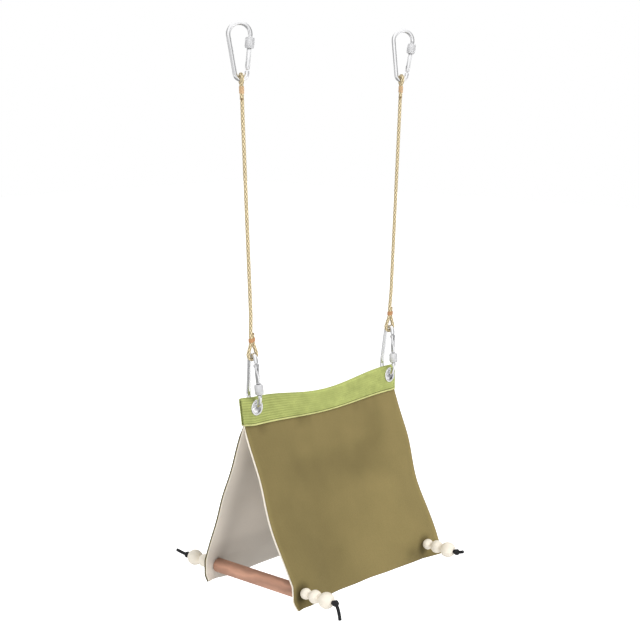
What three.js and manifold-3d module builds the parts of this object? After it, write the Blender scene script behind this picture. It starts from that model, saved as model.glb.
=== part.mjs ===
// Hanging bird tent: a lined canvas tent held open by two wooden perches, hung on two ropes
// between screw-lock carabiners. Millimetres, +Z up, +X along the ridge, +Y to the back.
// The origin lies midway between the two top carabiners, where their bows sit on a bar.
import * as THREE from 'three';
import { mergeVertices } from 'three/addons/utils/BufferGeometryUtils.js';
import Module from 'manifold-3d';

const wasm = await Module();
wasm.setup();

// Clearance left between pieces that touch on the real tent
const gap = 0.3;

// Hanging line, from the bar down to the eyelets
const barSpacing = 219.4;
const eyeletSpacing = 185;
const topHookYaw = THREE.MathUtils.degToRad(-34);
const lowerHookYaw = THREE.MathUtils.degToRad(76.4);

// Carabiner: a pear of bent wire
const hookLength = 50;
const hookWidth = 22.6;
const hookNeckWidth = 14.2;
const hookWire = 4;
const noseStraight = 0.8;

// Gate, its rivet, its lap joint with the nose and its spring
const pivotFromNeck = 4.5;
const gateEndGap = 0.3;
const tongueThickness = 1.4;
const tongueWidth = 3.2;
const tongueReach = 1.9;
const forkDepth = 4.5;
const shoulderGap = 0.4;
const rivetDiameter = 1.6;
const rivetHeadDiameter = 2.6;
const rivetHeadHeight = 0.55;
const lapLength = 1.6;
const springDiameter = 1.5;
const springWire = 0.4;
const springTurns = 4;
const springPitch = 1.75;

// Threaded sleeve that screws along the gate
const sleeveLength = 9;
const sleeveDiameter = 8;
const sleeveChamfer = 0.6;
const sleeveSetback = 0.4;
const sleevePlay = 0.4;

// Rope with an eye seized at each end
const ropeDiameter = 3.2;
const ropeSeatLength = 238.4;
const eyePlay = 0.45;
const strandGap = 0.3;
const seizingWall = 0.4;
const ropeEase = 16;

// The eyes: wire to seizing, length of the seizing, cut tail, and how far the strands twist
const topEye = { throat: 5.4, seizing: 6.4, tail: 4.5, twist: THREE.MathUtils.degToRad(-15) };
const lowerEye = { throat: 10.8, seizing: 4, tail: 3.5, twist: THREE.MathUtils.degToRad(31.6) };

// Tent cloth
const bandThickness = 0.9;
const canvasThickness = 0.6;
const liningThickness = 0.4;
const bandHeight = 25;
const bandTop = 9;
const bandHemHeight = 2.4;
const bandHemBulge = 0.8;
const ridgeMarginLeft = 17;
const ridgeMarginRight = 10.5;
const ridgeSag = 4.5;
const clothInsetLeft = 4;
const clothInsetRight = 0.8;
const panelDrop = 155.6;
const frontHem = { pastLeft: 5.2, pastRight: 17, corner: 57, perch: 49.8, middle: 43, hollow: 3 };
const backHem = { pastLeft: 10.5, pastRight: 17, corner: 49.5, perch: 52.5, middle: 52.5, hollow: -3 };
const perchPatchMargin = 2;
const perchFade = 26;

// Eyelets through the band
const eyeletBore = 10.4;
const eyeletWall = 0.5;
const eyeletFlange = 14.4;
const eyeletCrown = 1;
const eyeletLip = 12.6;
const eyeletLipHeight = 0.75;
const washerThickness = 0.8;
const hookSeatDrop = 1.0;

// Perches and the elastic cord through each
const perchDiameter = 13;
const perchLength = 102;
const perchChamfer = 0.8;
const perchInsetLeft = 4;
const perchInsetRight = 5.8;
const perchAboveHem = 14.4;
const cordDiameter = 2.6;
const knotDiameter = 6.2;

// Beads, counted outwards from the cloth
const beadDiameters = [10, 12, 14.5];
const beadNames = ['inner', 'middle', 'outer'];
const beadMouth = 4;

// Faces round a full turn, and steps along the band
const wireSides = 8;
const turnedSides = 12;
const roundSides = 16;
const bandSteps = 14;

// Colours and finishes
const finishes = {
  steel: { color: 0xd9dadb, roughness: 0.18, metalness: 1 },
  rope: { color: 0xd9b878, roughness: 0.9, metalness: 0 },
  seizing: { color: 0xc98a4a, roughness: 0.85, metalness: 0 },
  canvas: { color: 0x8d7f56, roughness: 0.95, metalness: 0 },
  lining: { color: 0xe9e4da, roughness: 0.95, metalness: 0 },
  band: { color: 0xb0b776, roughness: 0.9, metalness: 0 },
  perch: { color: 0xbe947e, roughness: 0.7, metalness: 0 },
  bead: { color: 0xf5eddd, roughness: 0.6, metalness: 0 },
  cord: { color: 0x1d1d1f, roughness: 0.85, metalness: 0 },
};

// Sizes that follow from the ones above
const wireRadius = hookWire / 2;
const wideRadius = (hookWidth - hookWire) / 2;
const neckRadius = (hookNeckWidth - hookWire) / 2;
const wideCentre = wireRadius - wideRadius;
const neckWire = 1.5 * hookWire - hookLength;
const neckCentre = neckWire + neckRadius;
const sideTilt = Math.asin((wideRadius - neckRadius) / (wideCentre - neckCentre));
const sideLength = (wideCentre - neckCentre) * Math.cos(sideTilt);
const gateLength = sideLength - noseStraight - gateEndGap - pivotFromNeck;
const slotWidth = tongueThickness + 2 * gap;
const boreRadius = cordDiameter / 2 + gap;
const lowerNeckWire = neckWire - (ropeSeatLength - hookWire);
const lineLength = -lowerNeckWire + hookLength - hookWire;
const lineLean = Math.asin((barSpacing - eyeletSpacing) / 2 / lineLength);
const eyeletLevel = -lineLength * Math.cos(lineLean) - hookSeatDrop;
const bandBottom = bandTop - bandHeight;
const ridgeLeft = -eyeletSpacing / 2 - ridgeMarginLeft;
const ridgeRight = eyeletSpacing / 2 + ridgeMarginRight;
const perchLeft = -eyeletSpacing / 2 + perchInsetLeft;
const perchRight = eyeletSpacing / 2 - perchInsetRight;
const hemLevel = bandBottom - panelDrop;
const perchLevel = hemLevel + perchAboveHem;
const liningFace = gap / 2;
const canvasFace = liningFace + liningThickness + gap;
const bandFace = canvasFace + canvasThickness + gap;
const bandOuter = bandFace + bandThickness;
const perchPanel = perchLength / 2 + gap;
const beadStart = perchPanel + canvasFace - liningFace + canvasThickness + gap;

// A closed geometry as a solid: vertices merged by place, empty faces at poles dropped
function toSolid(geometry) {
  const bare = geometry.clone();
  bare.deleteAttribute('normal');
  bare.deleteAttribute('uv');
  const merged = mergeVertices(bare, 1e-4);
  const kept = [];
  const index = merged.index.array;
  for (let i = 0; i < index.length; i += 3) {
    const [a, b, c] = [index[i], index[i + 1], index[i + 2]];
    if (a !== b && b !== c && c !== a) kept.push(a, b, c);
  }
  const vertProperties = new Float32Array(merged.attributes.position.array);
  return new wasm.Manifold(new wasm.Mesh({ numProp: 3, vertProperties, triVerts: new Uint32Array(kept) }));
}

function toGeometry(solid) {
  const mesh = solid.getMesh();
  const geometry = new THREE.BufferGeometry();
  geometry.setAttribute('position', new THREE.BufferAttribute(mesh.vertProperties, 3));
  geometry.setIndex(new THREE.BufferAttribute(mesh.triVerts, 1));
  geometry.computeVertexNormals();
  return geometry;
}

function cut(geometry, cutters) {
  return toGeometry(cutters.reduce((solid, cutter) => solid.subtract(toSolid(cutter)), toSolid(geometry)));
}

function join(geometries) {
  return toGeometry(geometries.map(toSolid).reduce((a, b) => a.add(b)));
}

function mesh(name, geometry, finish) {
  const piece = new THREE.Mesh(geometry, new THREE.MeshStandardMaterial(finishes[finish]));
  piece.name = name;
  return piece;
}

// A route through points, with one ring of the tube on every point
class Route extends THREE.Curve {
  constructor(points) {
    super();
    this.points = points;
  }

  getPointAt(u, target = new THREE.Vector3()) {
    return target.copy(this.points[Math.round(u * (this.points.length - 1))]);
  }

  getTangentAt(u, target = new THREE.Vector3()) {
    const last = this.points.length - 1;
    const i = Math.round(u * last);
    return target.subVectors(this.points[Math.min(i + 1, last)], this.points[Math.max(i - 1, 0)]).normalize();
  }
}

function ring(radius, sides) {
  const points = [];
  for (let i = 0; i < sides; i += 1) {
    const angle = (2 * Math.PI * i) / sides;
    points.push(new THREE.Vector2(radius * Math.cos(angle), radius * Math.sin(angle)));
  }
  return points;
}

function tube(points, diameter, sides) {
  const section = new THREE.Shape(ring(diameter / 2, sides));
  return new THREE.ExtrudeGeometry(section, { steps: points.length - 1, extrudePath: new Route(points) });
}

// Turned shape about Z from pairs of radius and height
function turned(profile, sides) {
  const points = profile.map(([radius, height]) => new THREE.Vector2(radius, height));
  return new THREE.LatheGeometry(points, sides).rotateX(Math.PI / 2);
}

// Turned ring about Y, whose profile closes on itself
function turnedRing(profile, sides) {
  const points = [...profile, profile[0]].map(([radius, height]) => new THREE.Vector2(radius, height));
  return new THREE.LatheGeometry(points, sides);
}

function block(low, high) {
  const size = high.map((value, i) => value - low[i]);
  const middle = high.map((value, i) => (value + low[i]) / 2);
  return new THREE.BoxGeometry(...size).translate(...middle);
}

function rodAlongY(radius, length, sides) {
  return new THREE.CylinderGeometry(radius, radius, length, sides);
}

// Points on an arc in the XZ plane, from one angle to another
function arc(radius, centre, from, to, steps) {
  const points = [];
  for (let i = 0; i <= steps; i += 1) {
    const angle = from + ((to - from) * i) / steps;
    points.push(new THREE.Vector3(radius * Math.cos(angle), 0, centre + radius * Math.sin(angle)));
  }
  return points;
}

// Where the gate turns, and how the gate lies in the carabiner
const neckEnd = new THREE.Vector3(
  neckRadius * Math.cos(sideTilt), 0, neckCentre - neckRadius * Math.sin(sideTilt));
const alongGate = new THREE.Vector3(Math.sin(sideTilt), 0, Math.cos(sideTilt));
const pivot = neckEnd.clone().addScaledVector(alongGate, pivotFromNeck);
const gateFrame = new THREE.Matrix4().makeRotationY(sideTilt).setPosition(pivot);
const noseEnd = gateLength + gateEndGap;

// Bent wire from the hinge tongue round the neck, up the spine and over the wide bow to the nose
function carabinerBody() {
  const shoulder = wireRadius + shoulderGap;
  const route = [
    neckEnd.clone().addScaledVector(alongGate, pivotFromNeck - shoulder),
    ...arc(neckRadius, neckCentre, -sideTilt, sideTilt - Math.PI, 8),
    ...arc(wideRadius, wideCentre, Math.PI + sideTilt, -sideTilt, 14),
    neckEnd.clone().addScaledVector(alongGate, pivotFromNeck + noseEnd),
  ];
  const sunk = hookWire / 4;
  const half = tongueThickness / 2;
  const tongue = block([-tongueWidth / 2, -half, -shoulder - sunk], [tongueWidth / 2, half, tongueReach]);
  const rivetHole = rodAlongY(rivetDiameter / 2 + gap, hookWire, turnedSides);
  const lap = block([-hookWire, -hookWire, gateLength - hookWire], [0, hookWire, noseEnd + lapLength]);
  [tongue, rivetHole, lap].forEach((piece) => piece.applyMatrix4(gateFrame));
  return cut(join([tube(route, hookWire, wireSides), tongue]), [rivetHole, lap]);
}

// Gate rod: forked on the tongue at one end, with half its end lapped inside the nose at the other
function carabinerGate() {
  const profile = [];
  for (let i = 0; i <= 4; i += 1) {
    const angle = (Math.PI * (i - 4)) / 8;
    profile.push([wireRadius * Math.cos(angle), wireRadius * Math.sin(angle)]);
  }
  profile.push([wireRadius, gateLength + lapLength], [0, gateLength + lapLength]);
  profile[0][0] = 0;
  const half = slotWidth / 2;
  const fork = block([-hookWire, -half, -hookWire], [hookWire, half, forkDepth]);
  const lap = block([-gap, -hookWire, gateLength], [hookWire, hookWire, gateLength + hookWire]);
  const rivetHole = rodAlongY(rivetDiameter / 2 + gap, 2 * hookWire, turnedSides);
  const boreDepth = springTurns * springPitch + tongueReach + 3 * gap - forkDepth;
  const boreRound = springDiameter / 2 + gap;
  const bore = new THREE.CylinderGeometry(boreRound, boreRound, 2 * boreDepth, wireSides)
    .rotateX(Math.PI / 2)
    .translate(0, 0, forkDepth);
  return cut(turned(profile, turnedSides), [fork, lap, rivetHole, bore]);
}

// Rivet with a head outside each cheek of the fork
function gateRivet() {
  const shank = wireRadius + gap;
  const head = shank + rivetHeadHeight;
  const profile = [
    [0, -head], [rivetHeadDiameter / 2, -head], [rivetHeadDiameter / 2, -shank], [rivetDiameter / 2, -shank],
    [rivetDiameter / 2, shank], [rivetHeadDiameter / 2, shank], [rivetHeadDiameter / 2, head], [0, head],
  ];
  return toGeometry(toSolid(turned(profile, wireSides).rotateX(-Math.PI / 2)));
}

// Spring in the gate that pushes on the end of the tongue, one unbroken coil
function gateSpring() {
  const radius = (springDiameter - springWire) / 2;
  const steps = springTurns * 8;
  const points = [];
  for (let i = 0; i <= steps; i += 1) {
    const angle = (2 * Math.PI * i) / 8;
    const height = tongueReach + gap + springWire / 2 + (springPitch * i) / 8;
    points.push(new THREE.Vector3(radius * Math.cos(angle), radius * Math.sin(angle), height));
  }
  let least = Infinity;
  points.forEach((a, i) => points.slice(i + 6).forEach((b) => {
    least = Math.min(least, a.distanceTo(b) - springWire);
  }));
  console.log(`gate spring: least gap between turns ${least.toFixed(2)} mm`);
  return tube(points, springWire, 4);
}

function lockSleeve() {
  const inner = wireRadius + sleevePlay;
  const outer = sleeveDiameter / 2;
  const profile = [
    [inner, 0], [outer - sleeveChamfer, 0], [outer, sleeveChamfer], [outer, sleeveLength - sleeveChamfer],
    [outer - sleeveChamfer, sleeveLength], [inner, sleeveLength], [inner, 0],
  ];
  return turned(profile, roundSides).translate(0, 0, gateLength - sleeveSetback - sleeveLength);
}

const hookGeometries = {
  body: carabinerBody(),
  gate: carabinerGate(),
  rivet: gateRivet(),
  spring: gateSpring(),
  sleeve: lockSleeve(),
};

function carabiner(place, side) {
  const group = new THREE.Group();
  const gateGroup = new THREE.Group();
  gateGroup.position.copy(pivot);
  gateGroup.rotation.y = sideTilt;
  gateGroup.add(
    mesh(`${place}_gate_${side}`, hookGeometries.gate, 'steel'),
    mesh(`${place}_gate_rivet_${side}`, hookGeometries.rivet, 'steel'),
    mesh(`${place}_gate_spring_${side}`, hookGeometries.spring, 'steel'),
    mesh(`${place}_lock_sleeve_${side}`, hookGeometries.sleeve, 'steel'),
  );
  group.add(mesh(`${place}_carabiner_${side}`, hookGeometries.body, 'steel'), gateGroup);
  return group;
}

// Strands of an eye lie this far either side of its middle
const strandOffset = (ropeDiameter + strandGap) / 2;

// Points of one eye, from the cut tail through the seizing, round the wire and back to the rope's axis
function eyePoints(eye, wireLevel, away, yaw) {
  const at = (across, along) => {
    const turn = yaw + eye.twist * THREE.MathUtils.smoothstep(along, wireRadius, eye.throat);
    return new THREE.Vector3(across * Math.cos(turn), across * Math.sin(turn), wireLevel + away * along);
  };
  const radius = wireRadius + eyePlay + ropeDiameter / 2;
  const seized = eye.throat + eye.seizing;
  const tail = seized + eye.tail;
  const points = [
    at(strandOffset, tail),
    at(strandOffset, seized),
    at(strandOffset, eye.throat),
    at((strandOffset + radius) / 2, eye.throat / 2),
  ];
  for (let i = 0; i <= 8; i += 1) {
    const angle = THREE.MathUtils.degToRad(-12 + (204 * i) / 8);
    points.push(at(radius * Math.cos(angle), -radius * Math.sin(angle)));
  }
  points.push(
    at(-(strandOffset + radius) / 2, eye.throat / 2),
    at(-strandOffset, eye.throat),
    at(-strandOffset, seized),
    at(-strandOffset, tail),
    at(-strandOffset / 2, tail + ropeEase / 2),
    at(0, tail + ropeEase),
  );
  return points;
}

// An eye lies across the wire that it hangs on
const topEyeYaw = topHookYaw - Math.PI / 2;
const lowerEyeYaw = lowerHookYaw - Math.PI / 2;

// Rope from one seized eye to the other, straight between
function rope() {
  const upper = eyePoints(topEye, neckWire, -1, topEyeYaw);
  const lower = eyePoints(lowerEye, lowerNeckWire, 1, lowerEyeYaw).reverse();
  const from = upper[upper.length - 1].z;
  const to = lower[0].z;
  const steps = Math.ceil((from - to) / (3 * ropeDiameter));
  const straight = [];
  for (let i = 1; i < steps; i += 1) {
    straight.push(new THREE.Vector3(0, 0, from + ((to - from) * i) / steps));
  }
  return tube([...upper, ...straight, ...lower], ropeDiameter, wireSides);
}

// Oval whipping round the two strands of an eye
function seizing(length) {
  const oval = (path, radius) => {
    path.absarc(strandOffset, 0, radius, -Math.PI / 2, Math.PI / 2);
    path.absarc(-strandOffset, 0, radius, Math.PI / 2, (3 * Math.PI) / 2);
    path.closePath();
    return path;
  };
  const inner = ropeDiameter / 2 + gap;
  const outline = oval(new THREE.Shape(), inner + seizingWall);
  outline.holes.push(oval(new THREE.Path(), inner));
  return new THREE.ExtrudeGeometry(outline, { depth: length, bevelEnabled: false, curveSegments: 6 });
}

const ropeGeometry = rope();
const topSeizingGeometry = seizing(topEye.seizing);
const lowerSeizingGeometry = seizing(lowerEye.seizing);

// One hanging line: top carabiner, rope with its seizings, lower carabiner
function hangingLine(side, sign) {
  const line = new THREE.Group();
  line.position.x = (sign * barSpacing) / 2;
  line.rotation.y = sign * lineLean;

  const top = carabiner('top', side);
  top.rotation.z = topHookYaw;

  const turn = new THREE.Group();
  turn.rotation.z = lowerHookYaw;
  turn.position.z = wireRadius - lineLength;
  const lower = carabiner('lower', side);
  lower.rotation.y = Math.PI;
  turn.add(lower);

  const upperSeizing = mesh(`rope_${side}_top_seizing`, topSeizingGeometry, 'seizing');
  upperSeizing.position.z = neckWire - topEye.throat - topEye.seizing;
  upperSeizing.rotation.z = topEyeYaw + topEye.twist;
  const lowerSeizing = mesh(`rope_${side}_lower_seizing`, lowerSeizingGeometry, 'seizing');
  lowerSeizing.position.z = lowerNeckWire + lowerEye.throat;
  lowerSeizing.rotation.z = lowerEyeYaw + lowerEye.twist;

  line.add(top, turn, mesh(`rope_${side}`, ropeGeometry, 'rope'), upperSeizing, lowerSeizing);
  return line;
}

const lerp = THREE.MathUtils.lerp;

// The ridge sags between the eyelets and is level outside them
function sagAt(x) {
  const across = Math.min(1, Math.abs(x) / (eyeletSpacing / 2));
  return -ridgeSag * Math.cos((Math.PI / 2) * across) ** 2;
}

// Half the size of the flat patch that a perch end presses into the cloth
const patchHalf = perchDiameter / 2 + perchPatchMargin;
const patchTop = (bandBottom - perchLevel - perchDiameter / 2 - gap) / panelDrop;
const patchEnd = (bandBottom - perchLevel + perchDiameter / 2 + gap) / panelDrop;

// How far a perch's hold on the cloth reaches along the ridge: 1 on its patch, 0 past the fade
function perchHold(x) {
  const away = Math.min(Math.abs(x - perchLeft), Math.abs(x - perchRight));
  return 1 - THREE.MathUtils.smoothstep(away, patchHalf, perchFade);
}

// Ends of a hem, past the eyelets
const hemLeft = (hem) => -eyeletSpacing / 2 - hem.pastLeft;
const hemRight = (hem) => eyeletSpacing / 2 + hem.pastRight;

// Half-width of the hem: flared at the corners, drawn in by the perches, bowed in between them
function hemOut(x, hem) {
  const across = (x - perchLeft) / (perchRight - perchLeft);
  if (across >= 0 && across <= 1) return lerp(hem.perch, hem.middle, Math.sin(Math.PI * across) ** 2);
  const past = across < 0 ? perchLeft - x : x - perchRight;
  const whole = across < 0 ? perchLeft - hemLeft(hem) : hemRight(hem) - perchRight;
  return lerp(hem.perch, hem.corner, Math.min(1, past / whole));
}

// Distance of a panel's inner face from the ridge plane; down runs from 0 at the band to 1 at the hem
function panelOut(x, down, hem) {
  const edge = hemOut(x, hem);
  let held = perchPanel;
  if (down < patchTop) held = lerp(liningFace, perchPanel, down / patchTop);
  if (down > patchEnd) held = lerp(perchPanel, edge, (down - patchEnd) / (1 - patchEnd));
  const shape = lerp(lerp(liningFace, edge, down), held, perchHold(x));
  return shape - hem.hollow * Math.sin(Math.PI * Math.min(1, down / patchTop));
}

// Stations along a panel: columns by place on the hem, rows by distance down from the band
function columnsOf(hem) {
  const from = perchLeft + 2 * patchHalf;
  const to = perchRight - 2 * patchHalf;
  const columns = [hemLeft(hem), (hemLeft(hem) + perchLeft) / 2, perchLeft, perchLeft + patchHalf];
  for (let i = 0; i <= 6; i += 1) columns.push(lerp(from, to, i / 6));
  columns.push(perchRight - patchHalf, perchRight, perchRight + patchHalf, hemRight(hem));
  return columns;
}
const rows = [0];
for (let i = 1; i <= 6; i += 1) rows.push((patchTop * i) / 7);
rows.push(patchTop, (patchTop + patchEnd) / 2, patchEnd, 1);

// A closed sheet over a grid of stations: both faces are split along the same diagonals, so that
// layers laid one on the other keep their distance
function bentSheet(across, along, place) {
  const positions = [];
  const index = [];
  const at = (face, row, column) => (face * (along + 1) + row) * (across + 1) + column;
  const quad = (a, b, c, d) => index.push(a, b, c, a, c, d);
  for (let face = 0; face < 2; face += 1) {
    for (let row = 0; row <= along; row += 1) {
      for (let column = 0; column <= across; column += 1) positions.push(...place(column, row, face));
    }
  }
  for (let row = 0; row < along; row += 1) {
    for (let column = 0; column < across; column += 1) {
      const corners = [[row, column], [row, column + 1], [row + 1, column + 1], [row + 1, column]];
      const inner = corners.map((corner) => at(0, ...corner));
      const outer = corners.map((corner) => at(1, ...corner));
      quad(...inner);
      index.push(outer[0], outer[2], outer[1], outer[0], outer[3], outer[2]);
    }
    quad(at(0, row, 0), at(0, row + 1, 0), at(1, row + 1, 0), at(1, row, 0));
    quad(at(0, row, across), at(1, row, across), at(1, row + 1, across), at(0, row + 1, across));
  }
  for (let column = 0; column < across; column += 1) {
    quad(at(0, 0, column), at(1, 0, column), at(1, 0, column + 1), at(0, 0, column + 1));
    quad(at(0, along, column), at(0, along, column + 1), at(1, along, column + 1), at(1, along, column));
  }
  const geometry = new THREE.BufferGeometry();
  geometry.setAttribute('position', new THREE.Float32BufferAttribute(positions, 3));
  geometry.setIndex(index);
  if (toSolid(geometry).volume() < 0) {
    for (let i = 0; i < index.length; i += 3) [index[i], index[i + 1]] = [index[i + 1], index[i]];
    geometry.setIndex(index);
  }
  return geometry;
}

// Place on a panel's sheet: the top row is held inside the band, the others run down to the hem
function panelPlace(column, row, out, hem) {
  const down = row === 0 ? 0 : rows[row - 1];
  const share = (column - hemLeft(hem)) / (hemRight(hem) - hemLeft(hem));
  const ridgeX = lerp(ridgeLeft + clothInsetLeft, ridgeRight - clothInsetRight, share);
  const x = lerp(ridgeX, column, down);
  const level = row === 0 ? bandTop - bandOuter : bandBottom - down * panelDrop;
  return [x, panelOut(x, down, hem) + out, level + sagAt(x) * (1 - down)];
}

const eyeletBarrel = eyeletBore / 2 + eyeletWall;
const clothHole = eyeletBarrel + gap;

// Holes for the eyelets and for the perch cords
function clothCutters() {
  const through = 4 * perchLength;
  const eyelets = [-1, 1].map((sign) => rodAlongY(clothHole, through, roundSides)
    .translate((sign * eyeletSpacing) / 2, 0, 0));
  const cords = [perchLeft, perchRight].map((x) => rodAlongY(boreRadius, through, wireSides)
    .translate(x, 0, perchLevel));
  return [...eyelets, ...cords];
}

function panel(sign, inset, thickness) {
  const hem = sign < 0 ? frontHem : backHem;
  const columns = columnsOf(hem);
  const sheet = bentSheet(columns.length - 1, rows.length, (column, row, face) => {
    const [x, out, z] = panelPlace(columns[column], row, inset + face * thickness, hem);
    return [x, sign * out, z];
  });
  return cut(sheet, clothCutters());
}

// Ridge band: one strip folded over the panels, with a rolled hem along both lower edges
function ridgeBand() {
  const foldLevel = bandTop - bandOuter;
  const side = [
    [bandBottom, bandHemBulge / 2],
    [bandBottom + bandHemHeight / 2, bandHemBulge],
    [bandBottom + bandHemHeight, 0],
    [foldLevel, 0],
  ];
  const stations = side.map(([level, bulge]) => ({ level, bulge, angle: Math.PI }));
  for (let i = 1; i < 6; i += 1) {
    stations.push({ level: foldLevel, bulge: 0, angle: Math.PI * (1 - i / 6) });
  }
  stations.push(...side.map(([level, bulge]) => ({ level, bulge, angle: 0 })).reverse());

  const strip = bentSheet(bandSteps, stations.length - 1, (column, row, face) => {
    const x = lerp(ridgeLeft, ridgeRight, column / bandSteps);
    const { level, bulge, angle } = stations[row];
    const radius = face === 1 ? bandOuter + bulge : bandFace;
    return [x, radius * Math.cos(angle), level + radius * Math.sin(angle) + sagAt(x)];
  });
  return cut(strip, clothCutters());
}

// Eyelet pressed from the front: flange, barrel and the lip rolled over the washer
function eyelet() {
  const bore = eyeletBore / 2;
  const flange = eyeletFlange / 2;
  const under = bandOuter + gap;
  const lipUnder = under + washerThickness + gap;
  return turnedRing([
    [bore, -under - eyeletCrown / 2],
    [eyeletBarrel, -under - eyeletCrown],
    [flange - eyeletCrown / 2, -under - eyeletCrown],
    [flange, -under - eyeletCrown / 3],
    [flange, -under],
    [eyeletBarrel, -under],
    [eyeletBarrel, lipUnder],
    [eyeletLip / 2, lipUnder],
    [eyeletLip / 2 - eyeletWall, lipUnder + eyeletLipHeight],
    [bore, lipUnder + eyeletLipHeight / 2],
  ], roundSides);
}

function eyeletWasher() {
  const flange = eyeletFlange / 2;
  const under = bandOuter + gap;
  return turnedRing([
    [clothHole, under],
    [flange, under],
    [flange, under + washerThickness / 2],
    [flange - washerThickness / 2, under + washerThickness],
    [clothHole, under + washerThickness],
  ], roundSides);
}

function perch() {
  const radius = perchDiameter / 2;
  const end = perchLength / 2;
  return turnedRing([
    [boreRadius, -end], [radius - perchChamfer, -end], [radius, perchChamfer - end],
    [radius, end - perchChamfer], [radius - perchChamfer, end], [boreRadius, end],
  ], roundSides);
}

// Half the length of a bead, between the flats where its bore comes out
function beadHalf(diameter) {
  return Math.sqrt((diameter / 2) ** 2 - (beadMouth / 2) ** 2);
}

function bead(diameter) {
  const half = beadHalf(diameter);
  const first = Math.asin(half / (diameter / 2));
  const profile = [[boreRadius, half - gap], [boreRadius, gap - half]];
  for (let i = 0; i <= 6; i += 1) {
    const angle = -first + (2 * first * i) / 6;
    profile.push([(diameter / 2) * Math.cos(angle), (diameter / 2) * Math.sin(angle)]);
  }
  return turnedRing(profile, turnedSides - 2);
}

// Places of the beads along the cord, and of the knot that stops them
const beadPlaces = [];
let beadEdge = beadStart;
for (const diameter of beadDiameters) {
  beadPlaces.push(beadEdge + beadHalf(diameter));
  beadEdge += 2 * beadHalf(diameter) + gap;
}
const knotPlace = beadEdge + knotDiameter / 2;

// Cut tails past the knots: points from the knot's middle, as they hang in use
const tailDown = [[0, -2.8, -2], [0.3, -3.8, -5.5], [0.6, -4.4, -10], [0.9, -4.6, -15]];
const tailOut = [[0, 4, 0.2], [0.2, 9, 0.6], [0.5, 14.5, 1.2]];
const stubFront = [[0, -4, 0.4], [0.2, -7.8, 0.8]];
const stubBack = [[0, 4, 0.4], [-0.2, 7.8, 0.8]];

// Elastic cord through a perch and its beads, knotted past the last bead at both ends
function perchCord(frontTail, backTail) {
  const route = [
    ...[...frontTail].reverse().map(([x, y, z]) => new THREE.Vector3(x, y - knotPlace, z)),
    new THREE.Vector3(0, -knotPlace, 0),
    new THREE.Vector3(0, -perchLength / 4, 0),
    new THREE.Vector3(0, perchLength / 4, 0),
    new THREE.Vector3(0, knotPlace, 0),
    ...backTail.map(([x, y, z]) => new THREE.Vector3(x, y + knotPlace, z)),
  ];
  const knots = [-1, 1].map((sign) => new THREE.SphereGeometry(knotDiameter / 2, wireSides, 6)
    .rotateX(Math.PI / 2)
    .translate(0, sign * knotPlace, 0));
  return join([tube(route, cordDiameter, wireSides), ...knots]);
}

// A perch with its cord and, on each side of the tent, its three beads
function perchSet(side, x, frontTail, backTail) {
  const group = new THREE.Group();
  group.position.set(x, 0, perchLevel);
  group.add(
    mesh(`perch_${side}`, perch(), 'perch'),
    mesh(`perch_cord_${side}`, perchCord(frontTail, backTail), 'cord'),
  );
  for (const [face, sign] of [['front', -1], ['back', 1]]) {
    beadDiameters.forEach((diameter, i) => {
      const piece = mesh(`bead_${face}_${side}_${beadNames[i]}`, bead(diameter), 'bead');
      piece.position.y = sign * beadPlaces[i];
      group.add(piece);
    });
  }
  return group;
}

function tent() {
  const group = new THREE.Group();
  group.position.z = eyeletLevel;
  for (const [face, sign] of [['front', -1], ['back', 1]]) {
    group.add(
      mesh(`canvas_${face}`, panel(sign, canvasFace - liningFace, canvasThickness), 'canvas'),
      mesh(`lining_${face}`, panel(sign, 0, liningThickness), 'lining'),
    );
  }
  group.add(mesh('ridge_band', ridgeBand(), 'band'));
  for (const [side, sign] of [['left', -1], ['right', 1]]) {
    const pieces = [
      mesh(`eyelet_${side}`, eyelet(), 'steel'),
      mesh(`eyelet_washer_${side}`, eyeletWasher(), 'steel'),
    ];
    pieces.forEach((piece) => piece.position.setX((sign * eyeletSpacing) / 2));
    group.add(...pieces);
  }
  group.add(perchSet('left', perchLeft, tailDown, tailOut));
  group.add(perchSet('right', perchRight, stubFront, stubBack));
  return group;
}

const birdTent = new THREE.Group();
birdTent.add(hangingLine('left', -1), hangingLine('right', 1), tent());

export default birdTent;
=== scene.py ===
import math
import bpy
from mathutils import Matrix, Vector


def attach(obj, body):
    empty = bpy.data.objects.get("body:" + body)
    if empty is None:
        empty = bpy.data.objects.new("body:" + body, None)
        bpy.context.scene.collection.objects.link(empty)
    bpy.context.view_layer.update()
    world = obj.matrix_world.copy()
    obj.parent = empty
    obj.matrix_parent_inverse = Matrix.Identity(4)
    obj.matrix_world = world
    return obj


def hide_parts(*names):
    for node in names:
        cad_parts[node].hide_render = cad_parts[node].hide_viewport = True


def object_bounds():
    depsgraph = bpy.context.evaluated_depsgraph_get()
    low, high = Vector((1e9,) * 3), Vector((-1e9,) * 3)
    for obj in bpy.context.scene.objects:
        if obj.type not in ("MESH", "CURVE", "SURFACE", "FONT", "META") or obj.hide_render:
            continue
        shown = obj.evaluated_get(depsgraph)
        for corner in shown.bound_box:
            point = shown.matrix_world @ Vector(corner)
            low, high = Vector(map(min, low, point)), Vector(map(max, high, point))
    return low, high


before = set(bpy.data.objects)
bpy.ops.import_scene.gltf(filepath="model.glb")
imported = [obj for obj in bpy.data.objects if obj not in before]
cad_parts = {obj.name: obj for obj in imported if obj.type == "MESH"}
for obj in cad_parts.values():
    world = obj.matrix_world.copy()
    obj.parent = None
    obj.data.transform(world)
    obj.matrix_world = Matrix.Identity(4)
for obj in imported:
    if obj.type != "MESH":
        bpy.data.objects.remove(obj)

from types import SimpleNamespace

import bmesh
import bpy
from mathutils import Matrix, Vector, noise

bl_info = {
    "name": "Hanging bird tent",
    "version": (1, 0, 0),
    "blender": (4, 5, 0),
    "location": "View3D > Sidebar > Bird tent",
    "description": "Lined canvas bird tent on ropes, with carabiners, perches and beads",
    "category": "Object",
}

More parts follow.
